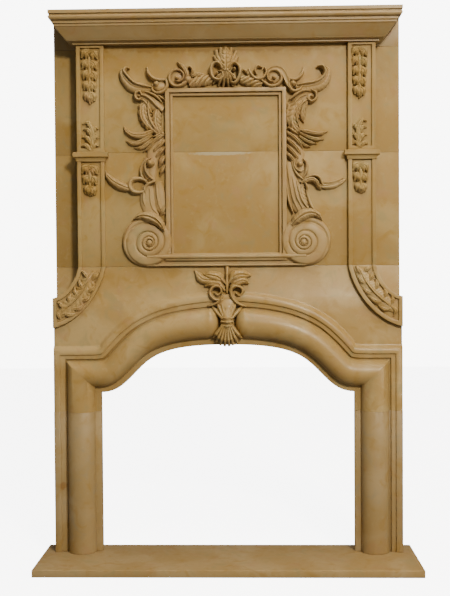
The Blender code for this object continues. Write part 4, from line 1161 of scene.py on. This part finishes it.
# The foliage at the frame's left side, along its top and at its right side, again traced apart
leftSide = (
    # the horns at the upper corner
    ("petal", ((152, 89), (143, 88.5), (134, 87), (127, 82), (122.8, 76), (122, 71), (125, 68)),
     (14, 24, 28, 27, 21, 15, 6), (20, 26, 28, 28, 28, 28, 20)),
    ("ridge", ((152, 87), (143, 85.5), (136, 83.5), (130.5, 79.5), (126.5, 75), (123.8, 70.5),
     (126, 67.3), (129.5, 68)), (5, 8, 8, 8, 7, 7, 7, 3), (30, 38, 40, 42, 42, 42, 38, 22)),
    ("ridge", ((167, 79.5), (160, 80), (154, 78.5), (150, 75.5), (147.5, 71), (146.5, 66.5)),
     (8, 9, 9, 9, 8, 3), (30, 36, 36, 36, 32, 16)),
    ("body", ((166, 86), (159, 86), (152, 86)), (22, 30, 14), (20, 26, 18)),
    ("ridge", ((166, 79), (167, 86), (163.5, 91), (158, 93), (153.3, 91.3), (151.5, 87)),
     (9, 10, 10, 9, 8, 5), (34, 38, 38, 38, 36, 26)),
    # the acanthus leaf that hangs from them
    ("body", ((137, 95), (145, 98), (153, 103.5), (162, 111)), (16, 34, 34, 20), (16, 22, 22, 16)),
    ("ridge", ((141, 95), (146, 96.3), (151, 100), (156.5, 105.5), (162.5, 111.5)),
     (5, 8, 9, 8, 5), (30, 38, 38, 36, 26)),
    ("ridge", ((145, 91.5), (152, 94), (157.5, 97.5), (162, 102.5)), (5, 8, 8, 4), (28, 36, 34, 24)),
    ("ridge", ((139, 98.5), (144.5, 101.5), (148.5, 106.5), (151.5, 113)),
     (5, 7, 8, 4), (26, 34, 32, 22)),
    ("ridge", ((156, 95), (160, 96.5), (164, 99.5)), (4, 7, 4), (24, 30, 20)),
    ("ridge", ((143, 97), (139, 99.5), (135.5, 97.5), (135.8, 93), (139.5, 91.5), (141.5, 94.5)),
     (4, 7, 8, 8, 7, 4), (28, 34, 38, 38, 36, 28)),
    ("leaf", ((147, 100), (144, 108), (145, 116), (149, 124), (155, 130.5), (161, 134)),
     (20, 30, 32, 30, 20, 6), (24, 30, 32, 32, 28, 18)),
    ("leaf", ((158, 107), (156.5, 115), (156.5, 123), (159, 130), (164, 134)),
     (16, 24, 24, 17, 5), (24, 30, 30, 26, 18)),
    ("ridge", ((148.5, 101), (148.3, 110), (149.5, 118.5), (153.5, 126), (159, 132)),
     (5, 7, 8, 7, 3), (34, 40, 40, 36, 24)),
    ("ridge", ((142, 101), (140.3, 109), (141, 117), (145, 124), (151, 130)),
     (4, 6, 6, 6, 3), (22, 30, 32, 32, 24)),
    # four feathers
    ("petal", ((153, 131), (144, 134.8), (136, 135.3), (129.5, 133.3), (125.3, 129.5), (123.8, 126)),
     (10, 17, 18, 15, 10, 3), (28, 30, 30, 28, 24, 12)),
    ("petal", ((152, 135), (146, 139), (139, 142.5), (132, 143.3), (126, 140.7)),
     (9, 14, 14, 11, 3), (26, 28, 26, 22, 12)),
    ("petal", ((153, 139), (147, 144), (141, 147.5), (134, 147.8)), (8, 13, 11, 3), (26, 26, 22, 12)),
    ("petal", ((155, 141), (150, 147), (143, 151.5)), (8, 10, 3), (26, 24, 12)),
    # the slender stem, with small leaves beside the bar
    ("body", ((161, 132), (157, 142), (154, 152), (152, 162), (151, 172), (152, 182)),
     (20, 32, 34, 28, 26, 20), (14, 17, 18, 18, 18, 16)),
    ("petal", ((164, 134), (158, 138), (152, 143), (148, 149)), (8, 12, 11, 3), (26, 34, 30, 14)),
    ("petal", ((165, 140), (160, 144.5), (155, 149.5), (152, 155)), (8, 12, 10, 3), (24, 32, 28, 13)),
    ("petal", ((165, 147), (161, 151), (157, 155.5), (155, 160)), (7, 11, 9, 3), (22, 30, 26, 13)),
    ("ridge", ((160, 133), (156, 136), (152, 137.5)), (6, 8, 3), (28, 34, 20)),
    ("petal", ((165, 156), (161.5, 161), (159, 167)), (8, 12, 3), (22, 28, 13)),
    ("petal", ((165, 165), (162, 170), (160, 176)), (7, 11, 3), (22, 27, 13)),
    # curls under the berry, a ring and a spray to the side
    ("body", ((147.5, 158), (145.5, 168), (148.5, 179)), (16, 24, 18), (17, 20, 18)),
    ("ridge", ((151, 158), (146.8, 160.5), (145, 166), (146.8, 173), (152.5, 179.5)),
     (4, 6, 8, 8, 6), (26, 32, 34, 34, 30)),
    ("ridge", ((146, 160), (141.8, 165), (140.8, 172), (143.3, 179), (149, 184)),
     (4, 6, 7, 7, 5), (18, 24, 26, 26, 22)),
    ("ridge", ((154, 181.5), (147.5, 184.5), (144.5, 189.5), (147, 194)),
     (7, 9, 9, 4), (30, 34, 30, 18)),
    ("ridge", ((147, 181), (139, 178.3), (131.5, 180.3), (129.8, 186), (133.5, 191.3), (141, 192),
     (146, 189)), (6, 10, 12, 13, 12, 9, 6), (26, 30, 32, 34, 32, 28, 22)),
    ("petal", ((131, 189), (125, 187.3), (118, 184.3), (111.3, 180), (106.5, 174.5), (104.8, 170.5)),
     (12, 20, 22, 18, 12, 3), (26, 30, 30, 28, 24, 12)),
    # the fluted tail
    ("body", ((148, 186), (147.5, 194), (148, 202), (150, 209.5), (155, 216), (161, 219)),
     (28, 36, 38, 34, 24, 8), (18, 17, 15, 13, 12, 9)),
    ("ridge", ((144, 191), (143.7, 200), (146.5, 209)), (7, 10, 4), (22, 20, 12)),
    ("ridge", ((150, 189), (150.5, 199), (153, 208), (158.5, 215)), (7, 10, 10, 4), (24, 20, 17, 12)),
    ("body", ((158, 182), (159, 194), (161, 206), (164, 214)), (20, 30, 30, 18), (17, 16, 14, 10)),
    ("ridge", ((156.5, 184), (157.5, 195), (159.5, 206), (163.5, 213)),
     (7, 10, 10, 4), (22, 22, 18, 12)),
    ("petal", ((165, 206), (162.5, 211), (160, 216)), (7, 11, 3), (20, 27, 13)),
    # the leaf over the volute
    ("petal", ((164, 231), (160.5, 224.5), (155.5, 219.8), (149, 217), (141.5, 216), (133, 219)),
     (8, 20, 27, 26, 17, 4), (44, 60, 64, 60, 50, 30)),
)
topRow = (
    # the left scroll, its hook and its rope
    ("body", ((170, 84), (177, 77.5), (185, 79)), (26, 36, 20), (18, 24, 18)),
    ("ridge", ((188, 80), (181.5, 85), (175, 86), (170.3, 82.5), (169.3, 76.5), (172.3, 71.3),
     (178, 69.8), (182.7, 73), (183.3, 78), (179.3, 81.7), (174.8, 80.7)),
     (7, 9, 9, 9, 9, 8, 8, 7, 6, 5, 3), (32, 36, 38, 38, 38, 38, 38, 38, 38, 38, 34)),
    ("petal", ((187.5, 79), (186, 71.5), (182.3, 66.3), (177, 61.5)), (9, 13, 11, 3), (28, 34, 32, 16)),
    ("ridge", ((185.5, 74), (187, 68), (190, 66.5), (192.3, 70), (190.5, 74.5)),
     (4, 6, 6, 6, 3), (22, 30, 32, 30, 20)),
    ("rope", ((189, 83.5), (197, 81.5), (204, 80), (212, 79)), (20, 27, 28, 20), (26, 34, 36, 30)),
    ("petal", ((192, 76), (199, 74.5), (206, 75.5)), (6, 12, 5), (20, 26, 18)),
    # the palmette, with leaves below it
    ("body", ((226, 74), (226, 66), (225.5, 57), (225.5, 49)), (26, 34, 46, 30), (26, 28, 22, 14)),
    *strokesAlike("ridge", (7, 13, 9), (32, 34, 16),
                  ((223.5, 68), (217.5, 61), (214, 55)), ((228, 68), (234, 61), (237.3, 55.5))),
    *strokesAlike("ridge", (7, 13, 9), (34, 36, 16),
                  ((224.3, 68), (218, 57), (215.5, 49.5)), ((227.4, 68), (233.5, 57), (235.8, 50))),
    *strokesAlike("ridge", (7, 13, 9), (36, 36, 16),
                  ((225, 68), (221.5, 56), (220.3, 47)), ((226.6, 68), (230, 56), (231, 47))),
    ("leaf", ((226, 70), (225.8, 62), (225.6, 54), (225.5, 46)), (20, 34, 36, 10), (38, 44, 42, 18)),
    *strokesAlike("petal", (8, 11, 4), (32, 40, 22),
                  ((226, 71), (218, 77), (213, 83.5)), ((227, 71), (234, 77), (238.5, 83.5))),
    *strokesAlike("petal", (7, 10, 4), (34, 42, 24),
                  ((226, 71), (221, 79), (218, 86)), ((226, 71), (230.5, 79), (233, 86))),
    *strokesAlike("petal", (7, 9, 4), (36, 44, 26),
                  ((226, 71), (224, 80), (223, 87.5)), ((226, 71), (227.5, 80), (228.5, 87.5))),
    # its side scrolls
    ("ridge", ((222, 68), (220, 64), (215.5, 62.3), (211.8, 65.5), (211, 72), (213.3, 77.8),
     (218.8, 79.6), (223, 76.5), (221.7, 71.8), (217.8, 71)),
     (5, 7, 8, 8, 9, 9, 8, 7, 5, 3), (36, 42, 44, 46, 46, 46, 46, 44, 42, 38)),
    ("ridge", ((229.5, 69), (231, 64.5), (235, 62.8), (239, 66.3), (240, 72), (238.5, 78),
     (234.3, 82.5), (229.5, 81.3)), (5, 7, 8, 8, 9, 9, 8, 4), (36, 42, 44, 46, 46, 46, 44, 32)),
    # the right rope, its hook and its scroll
    ("rope", ((262, 84.5), (255, 82.5), (248, 80.5), (240.5, 79)), (16, 26, 27, 20), (28, 36, 36, 30)),
    ("petal", ((243, 69), (248, 73), (252, 79)), (5, 10, 6), (20, 28, 24)),
    ("ridge", ((248.5, 68.5), (251.5, 74.8), (257, 78.8), (263, 77.5), (266.5, 72), (264.5, 67)),
     (5, 8, 9, 9, 8, 4), (28, 36, 38, 38, 36, 26)),
    ("ridge", ((256.5, 74), (255, 69.5), (258, 65.7), (262.3, 67.3)), (4, 6, 6, 3), (26, 32, 32, 22)),
    ("body", ((266, 82), (273, 77.5), (280, 77)), (26, 36, 26), (18, 24, 20)),
    ("ridge", ((261.5, 79.5), (266, 83.5), (271.5, 86), (277.7, 84.3), (281.3, 79.5), (280, 73.5),
     (275.5, 70.3), (270, 71.3), (267.3, 76), (269, 80.5), (273.5, 81.8)),
     (7, 9, 9, 9, 9, 8, 8, 7, 6, 5, 3), (32, 36, 38, 38, 38, 38, 38, 38, 38, 38, 34)),
    ("band", ((267, 71), (274.5, 68), (281.5, 70.5), (285.5, 77), (288.5, 84), (294, 90.5)),
     (6, 11, 15, 15, 12, 6), (34, 40, 42, 42, 40, 32)),
)
rightSide = (
    # the horns at the upper corner
    ("ridge", ((289.5, 79), (288.8, 85), (292.5, 90.5), (299, 89.8), (302, 85)),
     (6, 8, 9, 9, 5), (28, 34, 36, 36, 28)),
    ("petal", ((296, 88), (306, 87.3), (314.5, 86), (321.5, 82.8), (326, 77), (327.3, 71), (325, 66.5)),
     (14, 22, 27, 29, 27, 21, 9), (20, 26, 28, 30, 30, 30, 24)),
    ("ridge", ((298, 84.5), (306, 83), (314, 82), (320, 79.5), (324, 75.3), (325.3, 70),
     (322.3, 65.5), (317, 66)), (5, 8, 9, 8, 8, 8, 8, 4), (30, 38, 40, 42, 44, 44, 42, 26)),
    ("ridge", ((289, 78.5), (295, 79.3), (299.7, 76.5), (302.5, 72), (303.3, 66.5)),
     (8, 9, 9, 8, 3), (26, 32, 32, 30, 14)),
    # the acanthus leaf that hangs from them
    ("body", ((314, 95), (306, 97), (299, 102), (294, 110)), (14, 30, 34, 24), (16, 22, 22, 18)),
    ("ridge", ((311, 90.5), (304, 90.5), (297, 93.5), (290, 99)), (5, 8, 9, 5), (26, 36, 36, 26)),
    ("ridge", ((308, 94), (301, 96.5), (295.5, 102), (291, 108.5)), (5, 8, 8, 4), (26, 36, 36, 24)),
    ("ridge", ((308, 99), (302.5, 103), (299, 109), (298, 116)), (5, 8, 8, 4), (24, 34, 32, 22)),
    ("ridge", ((308, 93), (308, 98.5), (312, 101), (316, 98), (315.8, 92.7), (311.5, 89.5)),
     (4, 7, 8, 8, 8, 5), (26, 32, 36, 38, 38, 30)),
    ("leaf", ((303, 97), (297, 105), (293.5, 113), (293, 121), (296, 128), (301, 132.5)),
     (20, 30, 34, 32, 22, 6), (24, 32, 34, 34, 30, 18)),
    ("leaf", ((289.5, 104), (288.5, 112), (288.5, 120), (290, 127)), (10, 16, 16, 5), (22, 26, 26, 16)),
    ("leaf", ((307, 101), (303.5, 108), (302.5, 115.5), (304, 122.5)),
     (10, 16, 15, 4), (22, 28, 26, 14)),
    ("ridge", ((299, 104), (296.5, 111.5), (296.7, 119.5), (299.5, 127)),
     (5, 7, 7, 3), (34, 40, 38, 24)),
    # four feathers
    ("petal", ((300, 130), (307, 131.7), (314, 133), (321, 133.3), (328, 131)),
     (7, 11, 11, 9, 2), (28, 30, 28, 24, 12)),
    ("petal", ((300, 133), (307, 136.5), (314, 138.7), (324, 139.3)), (7, 10, 10, 2), (28, 28, 26, 12)),
    ("petal", ((299, 136), (305, 140), (311, 142.3), (317, 143.5)), (7, 9, 9, 2), (26, 28, 24, 12)),
    ("petal", ((298, 139), (302.5, 143.5), (306, 145.5), (310.5, 147)), (7, 9, 8, 2), (26, 26, 22, 12)),
    # the slender stem, with small leaves beside the bar
    ("body", ((290, 132), (294, 142), (297, 152), (299, 162), (301, 172), (301, 182)),
     (20, 32, 34, 28, 26, 20), (14, 17, 18, 18, 18, 16)),
    ("petal", ((286.5, 131.5), (292, 135.5), (298, 141), (303, 149)), (8, 11, 11, 3), (24, 34, 32, 16)),
    ("petal", ((286.5, 138), (292, 143), (298, 149.5), (302, 157)), (8, 11, 11, 3), (22, 32, 30, 15)),
    ("petal", ((286.5, 145), (291, 149.5), (296, 155.5), (300, 161.5)),
     (8, 11, 10, 3), (22, 30, 28, 14)),
    ("petal", ((286, 152), (290, 156), (294, 161), (297, 166)), (7, 10, 9, 3), (20, 28, 26, 14)),
    ("ridge", ((288, 127), (293, 130.5), (298, 134)), (5, 8, 4), (24, 32, 22)),
    # curls round the berry, and a ribbon to the side
    ("ridge", ((303, 158.5), (306.5, 163), (306.5, 170), (303.5, 177)),
     (5, 9, 10, 5), (26, 34, 34, 26)),
    ("ridge", ((297, 158), (294, 162.5), (295.5, 168), (300.5, 171.5), (304, 170)),
     (4, 7, 7, 6, 3), (26, 32, 34, 32, 24)),
    ("ridge", ((292, 160), (293.5, 168), (297.5, 174.5), (303, 179.5)), (5, 7, 8, 5), (22, 28, 30, 26)),
    ("petal", ((301, 183), (306, 180.3), (312, 179), (316.5, 181.5), (319, 186.5), (321.5, 189.5)),
     (7, 12, 13, 12, 9, 3), (28, 34, 36, 36, 32, 18)),
    ("ridge", ((303, 179), (309.5, 176), (315.5, 175.3), (320, 178.3), (322.5, 184), (325.5, 186.5)),
     (5, 7, 8, 8, 7, 3), (26, 32, 34, 34, 30, 18)),
    ("petal", ((320, 186), (327, 185.8), (334, 184.5), (340.5, 182.3), (346, 179.5)),
     (10, 16, 18, 13, 4), (22, 22, 20, 16, 10)),
    ("petal", ((324, 183), (331, 182.8), (338, 180.8), (343, 178)), (5, 8, 7, 2), (22, 24, 20, 12)),
    ("ridge", ((303.5, 181), (307, 186), (306.5, 192)), (5, 8, 4), (28, 32, 20)),
    # the fluted tail
    ("leaf", ((300, 184), (300.5, 193), (303, 202), (307, 209), (313, 213.5)),
     (24, 28, 28, 20, 6), (18, 20, 20, 20, 16)),
    ("body", ((288.5, 162), (290.5, 178), (294.5, 193), (300, 206), (308, 213)),
     (22, 34, 42, 42, 24), (17, 20, 22, 22, 16)),
    ("ridge", ((287, 164), (288.5, 176), (290.5, 188), (293.5, 200), (298.5, 211)),
     (4, 6, 7, 8, 4), (20, 26, 28, 30, 24)),
    ("ridge", ((286.3, 178), (287, 190), (289.3, 202), (293, 213)), (4, 6, 8, 4), (18, 24, 28, 22)),
    *strokesAlike("ridge", (4, 6, 8, 4), (22, 28, 32, 26),
                  ((292, 176), (294.3, 187), (297.5, 198.5), (303, 209.5)),
                  ((296.5, 181), (299, 191), (302.5, 200.5), (309, 209.5))),
    ("ridge", ((306, 190), (308.5, 198), (311.5, 206), (316, 212)), (4, 7, 8, 3), (20, 26, 28, 20)),
    # the leaf over the volute
    ("petal", ((292, 224.5), (297, 219.5), (303, 215), (310, 212.8), (317, 214.3), (322.5, 220)),
     (11, 23, 28, 24, 15, 4), (42, 58, 62, 58, 48, 28)),
)
# Berries and the eyes of scrolls: a pixel, then the radius and the rise
knobs = (
    (156, 83, 17, 42), (149.8, 162.6, 20, 56), (176.5, 77, 12, 42), (187.5, 78.5, 18, 40),
    (234.3, 77.3, 11, 50), (234.3, 67.8, 9, 46), (217, 72, 8, 44), (274.3, 76.7, 13, 44),
    (293.3, 82.3, 16, 42), (300.3, 163.5, 15, 42), (138.8, 95.6, 7, 34), (312, 95.4, 8, 34),
)


def makeCarvedFrame():
    bed = stone["faceDepth"]
    pieces = [makeBars(), makeRail(), makeVolute(-1), makeVolute(1)]
    pieces += carveFromPicture(leftSide + topRow + rightSide, bed)
    pieces += [knob(x, y, radius, rise, bed) for x, y, radius, rise in knobs]
    piece = joinPieces("carvedFrame", pieces)
    closeBacks(piece)
    marble = makeMarble("carvedFrameMarble", (1, 6, 5), frameBars["look"])
    finishPiece(piece, "carved_frame", marble)


makeCarvedFrame()
print("frame carved")

# A plain pale floor and backdrop, and soft studio light from the upper right
studio = {
    "floor": "ffffff",
    "backdrop": "ffffff",
    "floorGlow": 7.0,
    "backdropGlow": 8.0,
    "backdropPlace": (0, 9, 0),
    "sheetSize": 60,
    "sheetRoughness": 0.9,
    "aim": (0, 0, 1.25),
    "world": "fff6ea",
    "worldStrength": 0.22,
    "key": {"place": (2.34, -5.78, 4.43), "size": 0.8, "power": 470, "colour": "fff1dc"},
    "top": {"place": (0.5, -1.9, 5.2), "size": 1.5, "power": 110, "colour": "fff1dc"},
    "fill": {"place": (4.2, -3.2, 2.4), "size": 2.4, "power": 60, "colour": "fff0dc"},
}


def addLight(name, settings):
    clearSelection()
    aim = Vector(studio["aim"]) - Vector(settings["place"])
    turn = aim.to_track_quat("-Z", "Y").to_euler()
    bpy.ops.object.light_add(type="AREA", location=settings["place"], rotation=turn)
    light = bpy.context.object
    light.name = name
    light.data.size = settings["size"]
    light.data.energy = settings["power"]
    light.data.color = linear(settings["colour"])[:3]


def addStage(name, place, turn, colour, glow):
    clearSelection()
    bpy.ops.mesh.primitive_plane_add(size=studio["sheetSize"], location=place, rotation=turn)
    sheet = bpy.context.object
    sheet.name = name
    paint = bpy.data.materials.new(name + "Paint")
    paint.use_nodes = True
    shader = paint.node_tree.nodes["Principled BSDF"]
    shader.inputs["Base Color"].default_value = linear(colour)
    shader.inputs["Roughness"].default_value = studio["sheetRoughness"]
    shader.inputs["Emission Color"].default_value = linear(colour)
    shader.inputs["Emission Strength"].default_value = glow
    sheet.data.materials.append(paint)
    sheet.visible_diffuse = False    # so that the hollows aren't lit from below and behind
    sheet.visible_glossy = False


def makeStudio():
    addStage("paleFloor", (0, 0, 0), (0, 0, 0), studio["floor"], studio["floorGlow"])
    upright = (math.radians(90), 0, 0)
    addStage("paleBackdrop", studio["backdropPlace"], upright, studio["backdrop"], studio["backdropGlow"])
    world = bpy.data.worlds.new("softStudio")
    bpy.context.scene.world = world
    world.use_nodes = True
    sky = world.node_tree.nodes["Background"]
    sky.inputs["Color"].default_value = linear(studio["world"])
    sky.inputs["Strength"].default_value = studio["worldStrength"]
    addLight("keyLight", studio["key"])
    addLight("topLight", studio["top"])
    addLight("fillLight", studio["fill"])


makeStudio()
print("studio lit")
